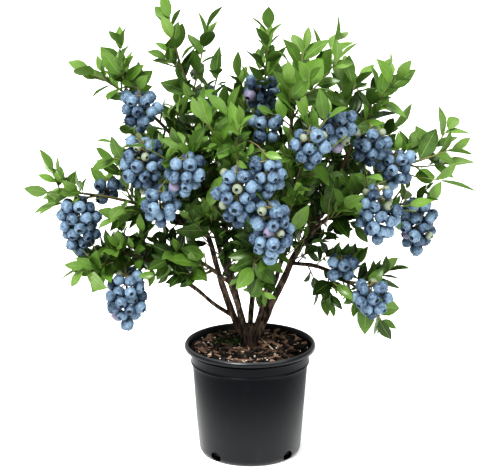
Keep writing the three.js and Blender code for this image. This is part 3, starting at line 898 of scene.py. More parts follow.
@dataclass(kw_only=True)
class Spray(Growth):
    """One spray as it grows, in its own space."""

    row: Branch
    wood: Limb
    look: SprayLook
    bare_foot: float = 0.06  # the share of its twig, from its foot, on which nothing breaks
    first_place: float = 0.35  # of its first shoot, on the rest
    tries: int = 4  # for each shoot that it is to have
    onward: float = 0.75  # how far a shoot goes on in its first direction, against its length
    sag: float = 0.1  # how far down it sets off
    upturn: float = 0.4  # how steeply it ends
    places: int = 12  # that a bunch may hang from
    place_step: float = 0.07  # the share of the twig between two of them
    arch_rise: float = 0.8  # how steeply a bunch's stalk sets off, against its run
    arch_fall: float = 1.6  # how steeply it comes down
    core_head: float = 8.0  # how far a bunch's core stands over its first level
    core_end: float = 4.0  # how far over its last berry's centre it ends
    core_radii: Pair = (1.3, 0.9)
    stalk_rise: float = 7.0  # how far over a berry's centre its stalk springs
    stalk_highest: float = 6.0  # how far over the first level, at most
    stalk_sink: float = 0.85  # where it ends, as a share of the berry's radius
    stalk_radii: Pair = (0.75, 0.9)

    def _keeps(self, points: Vec) -> bool:
        """Tells whether points are nearer to this spray's wood and fruit than to any other's."""
        return self.space.keeps(self.number, points)

    def grow(self) -> None:
        """Grows the twig, its bunches, its shoots and spurs, and every leaf."""
        self.twigs.append(Twig(self.wood.curve, self.wood.radii, TIP.youth))
        for number, truss in enumerate(self.row.trusses):
            self._hang(truss, number)
        self._leaf_out(TIP, self.wood.curve, (self.number, Draw.ON_TWIG))
        self.lowest = self.look.lowest
        self._shoot_out(SHOOT, Draw.ON_SHOOT, self.look.shoots)
        self._shoot_out(SPUR, Draw.ON_SPUR, self.look.spurs)

    def _shoot_curve(self, kind: ShootKind, number: int) -> Sweep:
        """Works out a side shoot's curve, which turns up towards the light.

        Args:
            kind: The kind of shoot.
            number: Its number on the twig.

        Returns:
            The curve.
        """
        share = self.bare_foot + kind.reach * ((self.first_place + number * GOLDEN_SHARE + kind.shift) % 1)
        turn = GOLDEN_TURN * number + spread(0, FULL_TURN, self.number, Draw.SHOOT_TURN) + kind.turn
        along, _ = self.wood.curve.leaving(share, math.radians(kind.angle), turn)
        keys = (self.number, number, *kind.length_keys, Draw.SHOOT_LENGTH)
        length = kind.length * spread(*kind.lengths, *keys)
        if kind is SHOOT:
            length += TIP_RUN
        start = self.wood.curve.at(share)
        end = start + along * length * self.onward + UP * length * kind.lift
        return Sweep(start, unit(along * (1 - self.sag) - UP * self.sag), end, unit(along + UP * self.upturn))

    def _shoot_out(self, kind: ShootKind, draw: Draw, count: int) -> None:
        """Grows side shoots with their leaves, until the spray has its count.

        Args:
            kind: The kind of shoot.
            draw: The draw that its leaves' keys end with.
            count: The most that it keeps.
        """
        kept = 0
        for number in range(self.tries * count):
            curve = self._shoot_curve(kind, number)
            if kept < count and self._is_clear(curve.at(np.linspace(0.2, 1, 5))):
                self.twigs.append(Twig(curve, kind.radii, kind.youth))
                self._leaf_out(kind, curve, (self.number, number, draw))
                kept += 1

    def _hang(self, truss: Truss, number: int) -> None:
        """Hangs a bunch: an arching stalk, a plumb core, and berries packed round it on short stalks.

        Args:
            truss: The bunch.
            number: Its number on the spray.
        """
        top, drop = truss.top(), truss.drop()
        places = self.wood.curve.at(self.bare_foot + self.place_step * np.arange(self.places))
        start = places[np.argmin(np.linalg.norm(places - top, axis=1))]
        reach = float(np.linalg.norm(top - start))
        set_off = unit(top - start + UP * reach * self.arch_rise)
        come_down = unit(top - start - UP * reach * self.arch_fall)
        head = top + UP * self.core_head
        arch = Sweep(start, set_off, head, come_down)
        core = Sweep(head, -UP, top - UP * (drop - self.core_end), -UP)
        self.stalks += [Twig(arch, ARCH.radii, ARCH.youth), Twig(core, self.core_radii, (0.5, 0.8))]
        for berry in Bunch(top, drop, (self.number, number)).berries():
            self.berries.append(berry)
            height = min(berry.centre[2] + self.stalk_rise, top[2] + self.stalk_highest)
            springs = np.array([top[0], top[1], height])
            ends = berry.centre - berry.looks * berry.radius * self.stalk_sink
            stalk = Sweep(springs, unit(ends - springs), ends, berry.looks)
            self.stalks.append(Twig(stalk, self.stalk_radii, (0.9, 0.8)))
        self._leaf_out(ARCH, arch, (self.number, number, Draw.ON_STALK))


# How many berries stand on each level, by the number of levels, and how far out they stand, by their number.
BUNCH_LEVELS = {2: (5, 3), 3: (5, 5, 2), 4: (5, 6, 4, 1), 5: (5, 6, 6, 4, 1), 6: (5, 6, 6, 6, 4, 1)}
RING_REACH = {1: 1.5, 2: 6.8, 3: 10.0, 4: 12.6, 5: 15.2, 6: 18.0}


@dataclass(frozen=True)
class Bunch:
    """A bunch of berries, packed level by level round a plumb core."""

    top: Vec  # the middle of its first level
    drop: float  # how far its last berry is under that
    keys: tuple[int, int]
    radius: float = 9.5
    sizes: Pair = (0.84, 1.07)  # the least and the greatest factor on that
    level: float = 12.6  # the usual drop between levels
    slip: float = 2.5  # how far a level is off the core's line, at most
    shift: float = 2.4  # how far a berry is out of its place along each axis, at most
    closeness: float = 0.97  # the least distance between two centres, against the radii
    tilt: float = 0.45  # how far a crown looks past the way out, at most
    green_lots: Pair = (0.15, 0.018)  # the share of green berries on the first level and further down
    mauve_lots: float = 0.03
    green_size: float = 0.7
    droop: float = 7.0  # how far over its centre is the point on the core that a crown looks away from

    def _either_way(self, most: float, number: int, draw: Draw) -> Vec:
        """Draws how far a berry is off along each axis, at most so much either way."""
        return np.array([spread(-most, most, *self.keys, number, axis, draw) for axis in range(3)])

    def _places(self) -> tuple[Vec, Vec]:
        """Gives every berry's first place and its radius."""
        levels = max(2, round(self.drop / self.level) + 1)
        counts = BUNCH_LEVELS[min(levels, max(BUNCH_LEVELS))]
        turn = spread(0, FULL_TURN, *self.keys, Draw.RING_TURN)
        centres, radii = [], []
        for j, count in enumerate(counts):
            slip = spread(-self.slip, self.slip, *self.keys, j, Draw.BERRY_SHIFT)
            middle = self.top - UP * self.drop * j / (len(counts) - 1) + np.array([slip, 0, 0])
            for k in range(count):
                i = 8 * j + k
                angle = turn + FULL_TURN * (k + 0.5 * (j % 2)) / count
                out = RING_REACH[count] * np.array([math.cos(angle), math.sin(angle), 0])
                centres.append(middle + out + self._either_way(self.shift, i, Draw.BERRY_SHIFT))
                radii.append(self.radius * spread(*self.sizes, *self.keys, i, Draw.BERRY_SIZE))
        return np.array(centres), np.array(radii)

    def _packed(self, centres: Vec, radii: Vec) -> Vec:
        """Pushes berries apart until none runs into another, while each is drawn back to its place.

        Args:
            centres: Their centres.
            radii: Their radii.

        Returns:
            The new centres.
        """
        rounds, drawn_back, never = 40, 0.03, 1e6
        home = centres.copy()
        need = (radii[:, None] + radii[None]) * self.closeness
        for _ in range(rounds):
            apart = centres[:, None] - centres[None]
            away = np.linalg.norm(apart, axis=2) + np.eye(len(centres)) * never
            push = np.clip(need - away, 0, None) / away
            centres = centres + 0.5 * (apart * push[..., None]).sum(axis=1) + drawn_back * (home - centres)
        return centres

    def _ripeness(self, height: float, number: int) -> float:
        """Draws a berry's ripeness.

        Args:
            height: How high its centre is.
            number: Its number in the bunch.

        Returns:
            0 if it is green, 0.45 if it is mauve and 1 if it is ripe.
        """
        lot = chance(*self.keys, number, Draw.BERRY_RIPENESS)
        high_lots, low_lots = self.green_lots
        if lot < (high_lots if height > self.top[2] - self.radius else low_lots):
            return 0.0
        return 0.45 if lot > 1 - self.mauve_lots else 1.0

    def berries(self) -> Iterator[Berry]:
        """Gives the bunch's berries."""
        centres, radii = self._places()
        for i, (centre, radius) in enumerate(zip(self._packed(centres, radii), radii, strict=True)):
            heart = np.array([self.top[0], self.top[1], centre[2] + self.droop])
            looks = unit(unit(centre - heart) + self._either_way(self.tilt, i, Draw.BERRY_TILT))
            ripeness = self._ripeness(centre[2], i)
            size = radius if ripeness else radius * self.green_size
            yield Berry(centre, looks, size, ripeness, chance(*self.keys, i, Draw.BERRY_BLOOM))


# ------------------------ meshes


@dataclass
class Shape:
    """A small shape as arrays, ready to be joined many times over."""

    points: Vec
    corners: Vec  # the vertex of each face corner, face by face
    totals: Vec  # how many corners each face has
    uv: Vec  # a pair of surface coordinates for each corner

    @classmethod
    def taken_from(cls, bm: bmesh.types.BMesh, chart: dict[int, Pair] | None = None) -> "Shape":
        """Reads a bmesh and frees it.

        Args:
            bm: The bmesh.
            chart: Surface coordinates by vertex number, where the finish needs them.

        Returns:
            The shape.
        """
        bm.verts.index_update()
        points = np.array([v.co[:] for v in bm.verts])
        corners = [v.index for face in bm.faces for v in face.verts]
        totals = [len(face.verts) for face in bm.faces]
        uv = np.array([chart[i] for i in corners]) if chart else np.zeros((len(corners), 2))
        bm.free()
        return cls(points, np.array(corners), np.array(totals), uv)


@dataclass
class Joined:
    """Many small shapes, gathered batch by batch into one mesh."""

    points: list[Vec] = field(default_factory=list)
    corners: list[Vec] = field(default_factory=list)
    totals: list[Vec] = field(default_factory=list)
    uv: list[Vec] = field(default_factory=list)
    values: dict[str, list[Vec]] = field(default_factory=dict)
    count: int = 0

    def add(self, shape: Shape, copies: Vec, **values: Vec | list[float]) -> None:
        """Adds copies of a shape.

        Args:
            shape: The shape whose faces they take.
            copies: The vertices of each copy, in millimetres: copies, then vertices, then x, y, z.
            values: For each attribute, a value for each copy, or for each vertex of each copy.
        """
        number, size = copies.shape[:2]
        self.points.append(copies.reshape(-1, 3))
        offsets = self.count + size * np.arange(number)
        self.corners.append((shape.corners[None] + offsets[:, None]).ravel())
        self.totals.append(np.tile(shape.totals, number))
        self.uv.append(np.tile(shape.uv, (number, 1)))
        for name, value in values.items():
            full = np.broadcast_to(np.asarray(value, float).reshape(number, -1), (number, size))
            self.values.setdefault(name, []).append(full.ravel())
        self.count += number * size

    def mesh(self, name: str, sharp: float | None = None) -> bpy.types.Mesh:
        """Makes the mesh, smooth but for edges sharper than an angle.

        Args:
            name: The mesh's name.
            sharp: That angle, in degrees.

        Returns:
            The mesh, in metres.
        """
        mesh = bpy.data.meshes.new(name)
        corners, totals = np.concatenate(self.corners), np.concatenate(self.totals)
        mesh.vertices.add(self.count)
        mesh.vertices.foreach_set("co", (np.concatenate(self.points) * MM).astype(np.float32).ravel())
        mesh.loops.add(len(corners))
        mesh.loops.foreach_set("vertex_index", corners.astype(np.int32))
        mesh.polygons.add(len(totals))
        mesh.polygons.foreach_set("loop_start", (np.cumsum(totals) - totals).astype(np.int32))
        mesh.update(calc_edges=True)
        mesh.shade_smooth()
        if sharp is not None:
            mesh.set_sharp_from_angle(angle=math.radians(sharp))
        layer = mesh.uv_layers.new(name="UVMap")
        layer.data.foreach_set("uv", np.concatenate(self.uv).astype(np.float32).ravel())
        for key, value in self.values.items():
            attribute = mesh.attributes.new(key, "FLOAT", "POINT")
            attribute.data.foreach_set("value", np.concatenate(value).astype(np.float32))
        mesh.validate()
        return mesh


def set_out(shape: Shape, origins: Vec, axes: Vec, scales: Vec) -> Vec:
    """Sets copies of a shape out in space.

    Args:
        shape: The shape.
        origins: Where each copy's origin goes.
        axes: Each copy's own x, y and z directions, as rows.
        scales: Each copy's scale.

    Returns:
        The vertices of every copy.
    """
    return origins[:, None] + np.einsum("nj,kji->kni", shape.points, axes) * np.asarray(scales)[:, None, None]


def spun(outline: list[Pair], steps: int, apart: float) -> bmesh.types.BMesh:
    """Spins an outline round the upright axis into a closed shell whose faces look outwards.

    Args:
        outline: Its points as radius and height, from the axis to the axis.
        steps: How many steps the spin takes.
        apart: The distance under which two vertices are one.

    Returns:
        The shell.
    """
    bm = bmesh.new()
    verts = [bm.verts.new((radius, 0, height)) for radius, height in outline]
    edges = [bm.edges.new(pair) for pair in zip(verts, verts[1:], strict=False)]
    turn = {"cent": (0, 0, 0), "axis": (0, 0, 1), "angle": FULL_TURN, "steps": steps, "use_merge": True}
    bmesh.ops.spin(bm, geom=verts + edges, **turn)
    bmesh.ops.remove_doubles(bm, verts=bm.verts, dist=apart)
    bmesh.ops.recalc_face_normals(bm, faces=bm.faces)
    return bm


def tube_shape(sides: int, steps: int) -> Shape:
    """Makes a closed tube of radius one that stands from 0 to 1.

    Args:
        sides: How many sides it has.
        steps: How many steps it is cut into.

    Returns:
        The tube.
    """
    bm = bmesh.new()
    bmesh.ops.create_cone(bm, cap_ends=True, segments=sides, radius1=1, radius2=1, depth=1)
    bmesh.ops.translate(bm, verts=bm.verts, vec=(0, 0, 0.5))
    for i in range(1, steps):
        geom = bm.verts[:] + bm.edges[:] + bm.faces[:]
        bmesh.ops.bisect_plane(bm, geom=geom, plane_co=(0, 0, i / steps), plane_no=(0, 0, 1), dist=1e-6)
    return Shape.taken_from(bm)


def bend(shape: Shape, curve: Sweep, radii: Pair, swell: Vec | float = 1.0) -> Vec:
    """Bends a tube along a curve.

    Args:
        shape: The tube.
        curve: The curve.
        radii: Its radius at the foot and at the tip.
        swell: A factor on the radius for each vertex.

    Returns:
        The tube's vertices, as one copy.
    """
    share = shape.points[:, 2]
    tangent = curve.tangent(share)
    reference = curve.reference()
    side = reference - tangent * (tangent @ reference)[:, None]
    side /= np.linalg.norm(side, axis=1, keepdims=True)
    other = np.cross(tangent, side)
    radius = between(radii, share) * swell
    out = side * shape.points[:, :1] + other * shape.points[:, 1:2]
    return (curve.at(share) + out * radius[:, None])[None]


@dataclass(frozen=True)
class Blade:
    """One form of leaf blade, in units of its length, with its root at the origin and its tip at +Y."""

    width: float
    arch: float  # how far its tip hangs under its root's line
    fold: float  # how far each half rises from the midrib, against its width
    twist: float  # of its tip, in degrees
    wave: float  # of its edges
    stalk: float = 0.05
    stalk_half_width: float = 0.012
    thickness: float = 0.012  # at the midrib
    stations: tuple[float, ...] = (0.0, 0.05, 0.11, 0.24, 0.42, 0.61, 0.78, 0.91, 1.0)

    def _half_width(self, share: float) -> float:
        """Works out the half width: a short stalk, then a pointed oval.

        Args:
            share: The share of the length.

        Returns:
            The half width there.
        """
        if share <= self.stalk:
            return self.stalk_half_width
        t = (share - self.stalk) / (1 - self.stalk)
        oval = max(0.0, math.sin(math.pi * t**0.9)) ** 0.76
        widened = (self.width / 2 - self.stalk_half_width) * oval * (1 - 0.5 * t**5)
        return self.stalk_half_width + widened

    def _surface(self, across: float, share: float) -> Vector:
        """Works out a point of the blade's upper face.

        Args:
            across: A share of its half width, below 0 on the left.
            share: A share of its length.

        Returns:
            The point.
        """
        half = self._half_width(share)
        x = across * half
        y = share * (1 - 0.5 * self.arch * share)
        wave = self.wave * half * abs(across) * math.sin(9 * share + 2 * across)
        z = abs(x) * self.fold - self.arch * share**1.8 + wave
        return Matrix.Rotation(-math.radians(self.twist) * share, 3, "Y") @ Vector((x, y, z))

    def _thickness_at(self, across: float, share: float) -> float:
        """Gives the thickness there, which runs out at the edge and at the tip."""
        least = 0.0001
        return self.thickness * (1 - abs(across)) * math.sin(math.pi * min(1, share + 0.1)) + least

    def shape(self) -> Shape:
        """Makes the blade: an upper face and an under face that meet at its edge."""
        rows = len(self.stations) - 1
        bm = bmesh.new()
        bmesh.ops.create_grid(bm, x_segments=2, y_segments=rows, size=1)
        upper = bm.verts[:]
        copied = bmesh.ops.duplicate(bm, geom=bm.faces[:])["geom"]
        under = [v for v in copied if isinstance(v, bmesh.types.BMVert)]
        lower = set(under)
        bmesh.ops.reverse_faces(bm, faces=[f for f in bm.faces if all(v in lower for v in f.verts)])
        bm.verts.index_update()
        chart = {}
        for v in [*upper, *under]:
            across, share = v.co.x, self.stations[round((v.co.y + 1) / 2 * rows)]
            chart[v.index] = ((across + 1) / 2, share + (UNDERSIDE if v in lower else 0))
            v.co = self._surface(across, share)
            if v in lower:
                v.co.z -= self._thickness_at(across, share)
        return Shape.taken_from(bm, chart)


UNDERSIDE = 2.0  # what is added to the second surface coordinate under a blade
BLADES = (
    Blade(width=0.43, arch=0.12, fold=0.30, twist=8, wave=0.05),
    Blade(width=0.46, arch=0.22, fold=0.22, twist=-12, wave=0.07),
    Blade(width=0.39, arch=0.06, fold=0.38, twist=14, wave=0.04),
    Blade(width=0.49, arch=0.16, fold=0.18, twist=-5, wave=0.08),
    Blade(width=0.37, arch=0.28, fold=0.32, twist=18, wave=0.05),
)


@dataclass(frozen=True)
class BerryForm:
    """A berry of radius one whose crown looks along +Z: a flattened ball with a five-lobed, hollow calyx."""

    segments: int = 10  # two for each lobe
    flattening: float = 0.87
    arc: tuple[float, ...] = (0, 28, 55, 82, 110, 138)  # degrees up from its foot
    crown: tuple[Pair, ...] = ((0.42, 0.78), (0.37, 0.90), (0.27, 0.74), (0.0, 0.60))
    lobe: float = 0.09  # how far a lobe stands up
    notch: float = 0.7  # how far the gap between two is let down, against that
    lobe_reach: Pair = (1.2, 0.9)  # factors on how far out a lobe and a gap stand

    def shape(self) -> Shape:
        """Makes the berry by spinning its outline, then raises its lobes."""
        angles = [math.radians(angle) for angle in self.arc]
        outline = [(math.sin(a), -math.cos(a) * self.flattening) for a in angles] + list(self.crown)
        bm = spun(outline, self.segments, 1e-4)
        chart = {}
        bm.verts.index_update()
        for v in bm.verts:
            out, height = math.hypot(v.co.x, v.co.y), v.co.z
            off = [math.hypot(radius - out, up - height) for radius, up in outline]
            level = off.index(min(off))
            chart[v.index] = (0.5, level / (len(outline) - 1))
            if level == len(angles) + 1:
                is_lobe = round(math.atan2(v.co.y, v.co.x) / FULL_TURN * self.segments) % 2
                v.co.z += self.lobe * (1 if is_lobe else -self.notch)
                v.co.xy *= self.lobe_reach[0] if is_lobe else self.lobe_reach[1]
        return Shape.taken_from(bm, chart)


# ------------------------ shader maths


class Signal:
    """A node socket on which Python's operators work."""

    def __init__(self, bench: "Bench", socket: bpy.types.NodeSocket) -> None:
        """Wraps a socket of a bench's tree."""
        self.bench = bench
        self.socket = socket

    def _math(self, operation: str, *terms: "Signal | float") -> "Signal":
        """Adds a Math node on the terms."""
        return self.bench.node("ShaderNodeMath", {"operation": operation}, dict(enumerate(terms)))

    def __add__(self, other: "Signal | float") -> "Signal":
        """Adds."""
        return self._math("ADD", self, other)

    def __sub__(self, other: "Signal | float") -> "Signal":
        """Subtracts."""
        return self._math("SUBTRACT", self, other)

    def __rsub__(self, other: float) -> "Signal":
        """Subtracts from a number."""
        return self._math("SUBTRACT", other, self)

    def __mul__(self, other: "Signal | float") -> "Signal":
        """Multiplies."""
        return self._math("MULTIPLY", self, other)

    def __pow__(self, other: float) -> "Signal":
        """Raises to a power."""
        return self._math("POWER", self, other)

    __radd__ = __add__
    __rmul__ = __mul__

    def size(self) -> "Signal":
        """Drops the sign."""
        return self._math("ABSOLUTE", self)

    def ramp(self, low: float, high: float) -> "Signal":
        """Rises smoothly from 0 to 1 between two values."""
        values = {"Value": self, "From Min": low, "From Max": high}
        return self.bench.node("ShaderNodeMapRange", {"interpolation_type": "SMOOTHSTEP"}, values)


class Bench:
    """A material's node tree, with one method that makes any node."""

    def __init__(self, name: str) -> None:
        """Starts a material of that name with a Principled shader."""
        self.material = bpy.data.materials.new(name)
        self.material.use_nodes = True
        self.tree = self.material.node_tree
        self.shader = self.tree.nodes["Principled BSDF"]

    def node(self, kind: str, settings: dict, values: dict, output: int | str = 0) -> Signal:
        """Makes a node.

        Args:
            kind: The node's type.
            settings: Its own properties, which are set first.
            values: A number, a colour or a signal for each input, by name or number.
            output: Which output to give back.

        Returns:
            That output.
        """
        node = self.tree.nodes.new(kind)
        for name, value in settings.items():
            setattr(node, name, value)
        for name, value in values.items():
            self._feed(node.inputs[name], value)
        return Signal(self, node.outputs[output])

    def _feed(self, socket: bpy.types.NodeSocket, value: "Signal | float | Colour") -> None:
        """Links a signal to a socket, or sets the socket's own value."""
        if isinstance(value, Signal):
            self.tree.links.new(value.socket, socket)
        elif isinstance(value, tuple) and len(value) == 3 and socket.type == "RGBA":
            socket.default_value = (*value, 1)
        else:
            socket.default_value = value

    def set(self, **values: "Signal | float | Colour") -> None:
        """Feeds the shader's sockets, with underscores for the spaces in their names."""
        for name, value in values.items():
            self._feed(self.shader.inputs[name.replace("_", " ")], value)

    def place(self) -> Signal:
        """Gives the object coordinates, in metres."""
        return self.node("ShaderNodeTexCoord", {}, {}, "Object")

    def chart(self) -> tuple[Signal, Signal]:
        """Gives the two surface coordinates."""
        both = self.node("ShaderNodeUVMap", {"uv_map": "UVMap"}, {})
        return (
            self.node("ShaderNodeSeparateXYZ", {}, {0: both}, 0),
            self.node("ShaderNodeSeparateXYZ", {}, {0: both}, 1),
        )

    def own(self, name: str) -> Signal:
        """Gives one of the piece's own attributes."""
        return self.node("ShaderNodeAttribute", {"attribute_name": name}, {}, "Fac")

    def noise(
        self, per_metre: float, detail: float = 2.0, stretch: tuple[float, float, float] | None = None
    ) -> Signal:
        """Gives smooth noise, from 0 to 1.

        Args:
            per_metre: Its scale.
            detail: How much finer noise it carries.
            stretch: A factor on each coordinate.

        Returns:
            The noise.
        """
        where = self.place()
        if stretch:
            where = self.node("ShaderNodeMapping", {}, {"Vector": where, "Scale": stretch})
        return self.node("ShaderNodeTexNoise", {}, {"Vector": where, "Scale": per_metre, "Detail": detail})

    def mix(self, share: "Signal | float", low: "Signal | Colour", high: "Signal | Colour") -> Signal:
        """Mixes two colours."""
        return self.node("ShaderNodeMix", {"data_type": "RGBA"}, {0: share, 6: low, 7: high}, 2)

    def bump(self, height: Signal, strength: float, distance: float) -> None:
        """Raises the surface by a height, with its distance in metres."""
        values = {"Height": height, "Strength": strength, "Distance": distance}
        self.set(Normal=self.node("ShaderNodeBump", {}, values, "Normal"))


# ------------------------ finishes


@dataclass(frozen=True)
class LeafFinish:
    """Glossy green with a pale midrib and veins, yellower when young, and dull and pale underneath."""

    # The dark end of each leaf's tone: partly darker leaves, partly painted shade on low and inner leaves.
    deep_green_and_shade: Colour = (0.006, 0.028, 0.001)
    green: Colour = (0.120, 0.240, 0.031)
    young: Colour = (0.170, 0.278, 0.064)
    rib: Colour = (0.260, 0.380, 0.100)
    under: Colour = (0.120, 0.210, 0.050)

    def material(self) -> bpy.types.Material:
        """Makes the material."""
        bench = Bench("leaf_green")
        across, along = bench.chart()
        tone, youth = bench.own("tone"), bench.own("youth")
        patchy = bench.noise(70, 3)
        # Tone and patchy noise mix from the dark end to mid green; the low tones of low and inner leaves are
        # painted shade.
        body = bench.mix((tone + (patchy - 0.5) * 0.9).ramp(-0.05, 1.05), self.deep_green_and_shade, self.green)
        body = bench.mix(youth * (tone * 0.7 + 0.25).ramp(0.0, 1.0), body, self.young)
        off_rib = (across - 0.5).size()
        rib = 1 - off_rib.ramp(0.008, 0.045)
        vein = bench.node("ShaderNodeMath", {"operation": "PINGPONG"}, {0: along * 11 - off_rib * 9, 1: 0.5})
        veins = (1 - vein.ramp(0.0, 0.14)) * 0.16
        is_under = along.ramp(1.4, 1.6)
        body = bench.mix(veins, body, self.rib)
        body = bench.mix(rib * 0.45, body, self.rib)
        bench.set(Base_Color=bench.mix(is_under * 0.7, body, self.under))
        bench.set(Roughness=0.44 + is_under * 0.2 + (patchy - 0.5) * 0.16, Specular_IOR_Level=0.2)
        bench.set(Coat_Weight=(1 - is_under) * 0.36, Coat_Roughness=0.26)
        bench.bump(vein.ramp(0.0, 0.3) + off_rib.ramp(0.0, 0.08) + patchy, 0.5, 0.0009)
        return bench.material


@dataclass(frozen=True)
class BerryFinish:
    """Navy skin under a powdery blue bloom, with a dark calyx. Unripe berries are green or mauve."""

    skin: Colour = (0.010, 0.027, 0.060)
    bloom: Colour = (0.200, 0.288, 0.378)
    calyx: Colour = (0.006, 0.012, 0.024)
    green: Colour = (0.230, 0.262, 0.190)
    mauve: Colour = (0.225, 0.210, 0.285)

    def material(self) -> bpy.types.Material:
        """Makes the material."""
        bench = Bench("berry_skin")
        _, level = bench.chart()
        ripeness, bloom = bench.own("ripeness"), bench.own("bloom")
        patchy = bench.noise(300, 4)
        rubbed = bench.noise(75, 2)
        powder = (bloom * 0.36 + patchy * 0.8 + rubbed * 0.7).ramp(0.48, 1.32)
        ripe = bench.mix(powder, self.skin, self.bloom)
        turning = bench.mix(ripeness.ramp(0.0, 0.45), self.green, self.mauve)
        body = bench.mix(ripeness.ramp(0.5, 1.0), turning, ripe)
        crown = level.ramp(0.76, 0.90)
        bench.set(Base_Color=bench.mix(crown * 0.95, body, self.calyx))
        bench.set(Roughness=0.55 - powder * 0.1, Specular_IOR_Level=0.4)
        bench.bump(patchy, 0.2, 0.0005)
        return bench.material


@dataclass(frozen=True)
class TwigFinish:
    """Young wood, brown at its foot and green to its tip."""

    brown: Colour = (0.085, 0.050, 0.028)
    green: Colour = (0.150, 0.190, 0.050)
    name: str = "young_wood"

    def material(self) -> bpy.types.Material:
        """Makes the material."""
        bench = Bench(self.name)
        grain = bench.noise(220, 3)
        body = bench.mix((bench.own("youth") + (grain - 0.5) * 0.4).ramp(0.0, 1.0), self.brown, self.green)
        bench.set(Base_Color=body, Roughness=0.5 + grain * 0.25)
        bench.bump(grain, 0.3, 0.0006)
        return bench.material


@dataclass(frozen=True)
class BarkFinish:
    """Dark shreddy bark with long grey-tan ridges."""

    hollow: Colour = (0.008, 0.005, 0.003)
    brown: Colour = (0.050, 0.031, 0.020)
    ridge: Colour = (0.165, 0.122, 0.086)

    def material(self) -> bpy.types.Material:
        """Makes the material."""
        bench = Bench("bark")
        strips = bench.noise(260, 4, (1.0, 1.0, 0.16))
        patchy = bench.noise(45, 3)
        body = bench.mix(strips.ramp(0.38, 0.52), self.hollow, self.brown)
        body = bench.mix((strips + (patchy - 0.5) * 0.7).ramp(0.49, 0.66) * 0.85, body, self.ridge)
        bench.set(Base_Color=body, Roughness=0.86)
        bench.bump(strips + patchy * 0.4, 0.7, 0.0016)
        return bench.material


@dataclass(frozen=True)
class PlasticFinish:
    """Black moulded plastic: satin, faintly mottled, a trace of dust, and painted shade and highlights."""

    black: Colour = (0.0042, 0.0052, 0.0068)
    dusty: Colour = (0.024, 0.023, 0.021)
    # a paler grey for the painted highlight round the lip's top edge
    painted_rim_highlight: Colour = (0.075, 0.078, 0.082)
    wall: Pair = (0.02, 0.132)  # from where to where the wall's painted sheen runs out, in metres over the foot, leaving painted shade above
    band: Pair = (0.134, 0.1365)  # where the band's painted sheen begins, a painted highlight
    # where the lip's painted sheen begins, a painted highlight
    lip: Pair = (0.1565, 0.1580)
    edge: Pair = (0.1625, 0.1646)  # where the painted highlight runs round the lip's top edge

    def material(self) -> bpy.types.Material:
        """Makes the material."""
        bench = Bench("pot_plastic")
        mottle = bench.noise(38, 4)
        grain = bench.noise(900, 2)
        streak = bench.noise(60, 3, (1.0, 1.0, 0.12))
        dust = (mottle * 0.6 + streak * 0.4).ramp(0.52, 0.8) * 0.35
        up = bench.node("ShaderNodeSeparateXYZ", {}, {0: bench.place()}, "Z")
        # Coat weight by height: painted shade on the upper wall, painted highlights on the band and the lip.
        painted_sheen = 1.0 - up.ramp(*self.wall) * 0.92 + up.ramp(*self.band) * 0.22 + up.ramp(*self.lip) * 0.55
        body = bench.mix(dust, self.black, self.dusty)
        # A paler ring round the lip's top is a painted highlight.
        bench.set(Base_Color=bench.mix(up.ramp(*self.edge) * 0.75, body, self.painted_rim_highlight))
        bench.set(Roughness=0.33 + mottle * 0.12 + dust * 0.3, Specular_IOR_Level=0.08)
        bench.set(Coat_Weight=painted_sheen * 0.72, Coat_Roughness=0.3)
        bench.bump(grain + mottle * 0.6, 0.10, 0.0004)
        return bench.material


FIBROUS = (0.35, 1.0, 1.0)  # a grain that runs along X


@dataclass(frozen=True)
class GroundFinish:
    """Something in the potting mix: two colours dealt out by piece, and a rough grained surface."""

    name: str
    dark: Colour
    light: Colour
    per_metre: float = 300.0
    grain: tuple[float, float, float] = (1.0, 1.0, 1.0)
    relief: float = 0.6

    def material(self) -> bpy.types.Material:
        """Makes the material."""
        bench = Bench(self.name)
        grain = bench.noise(self.per_metre, 4, self.grain)
        share = (bench.own("tone") ** 2.3 + (grain - 0.5) * 0.9 + 0.05).ramp(0.0, 1.0)
        bench.set(Base_Color=bench.mix(share, self.dark, self.light), Roughness=0.9)
        bench.bump(grain, self.relief, 0.001)
        return bench.material


# ------------------------ sub-assemblies


def linked(name: str, data: bpy.types.ID) -> bpy.types.Object:
    """Puts an object with its data in the scene."""
    made = bpy.data.objects.new(name, data)
    bpy.context.scene.collection.objects.link(made)
    return made


def mesh_of(name: str, bm: bmesh.types.BMesh) -> bpy.types.Mesh:
    """Makes a mesh of a bmesh and frees it."""
    mesh = bpy.data.meshes.new(name)
    bm.to_mesh(mesh)
    bm.free()
    return mesh


def piece(mesh: bpy.types.Mesh, material: bpy.types.Material, slot: str, *nodes: str) -> None:
    """Puts a finished mesh in the scene as a piece of the plant, under the mesh's name.

    Args:
        mesh: The mesh, in metres.
        material: Its finish.
        slot: A slot name for its finish, which is not used.
        nodes: The solids that it stands for.
    """
    mesh.materials.append(material)
    made = linked(mesh.name, mesh)
    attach(made, "root")
    if nodes:
        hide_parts(*nodes)
    LOG.info("%s: %d faces", mesh.name, len(mesh.polygons))


def grained(where: Vector, per_mm: Pair) -> float:
    """Gives noise that is as fine across and along the upright as a pair of scales says."""
    across, along = per_mm
    return noise.noise(Vector((where.x * across, where.y * across, where.z * along)))


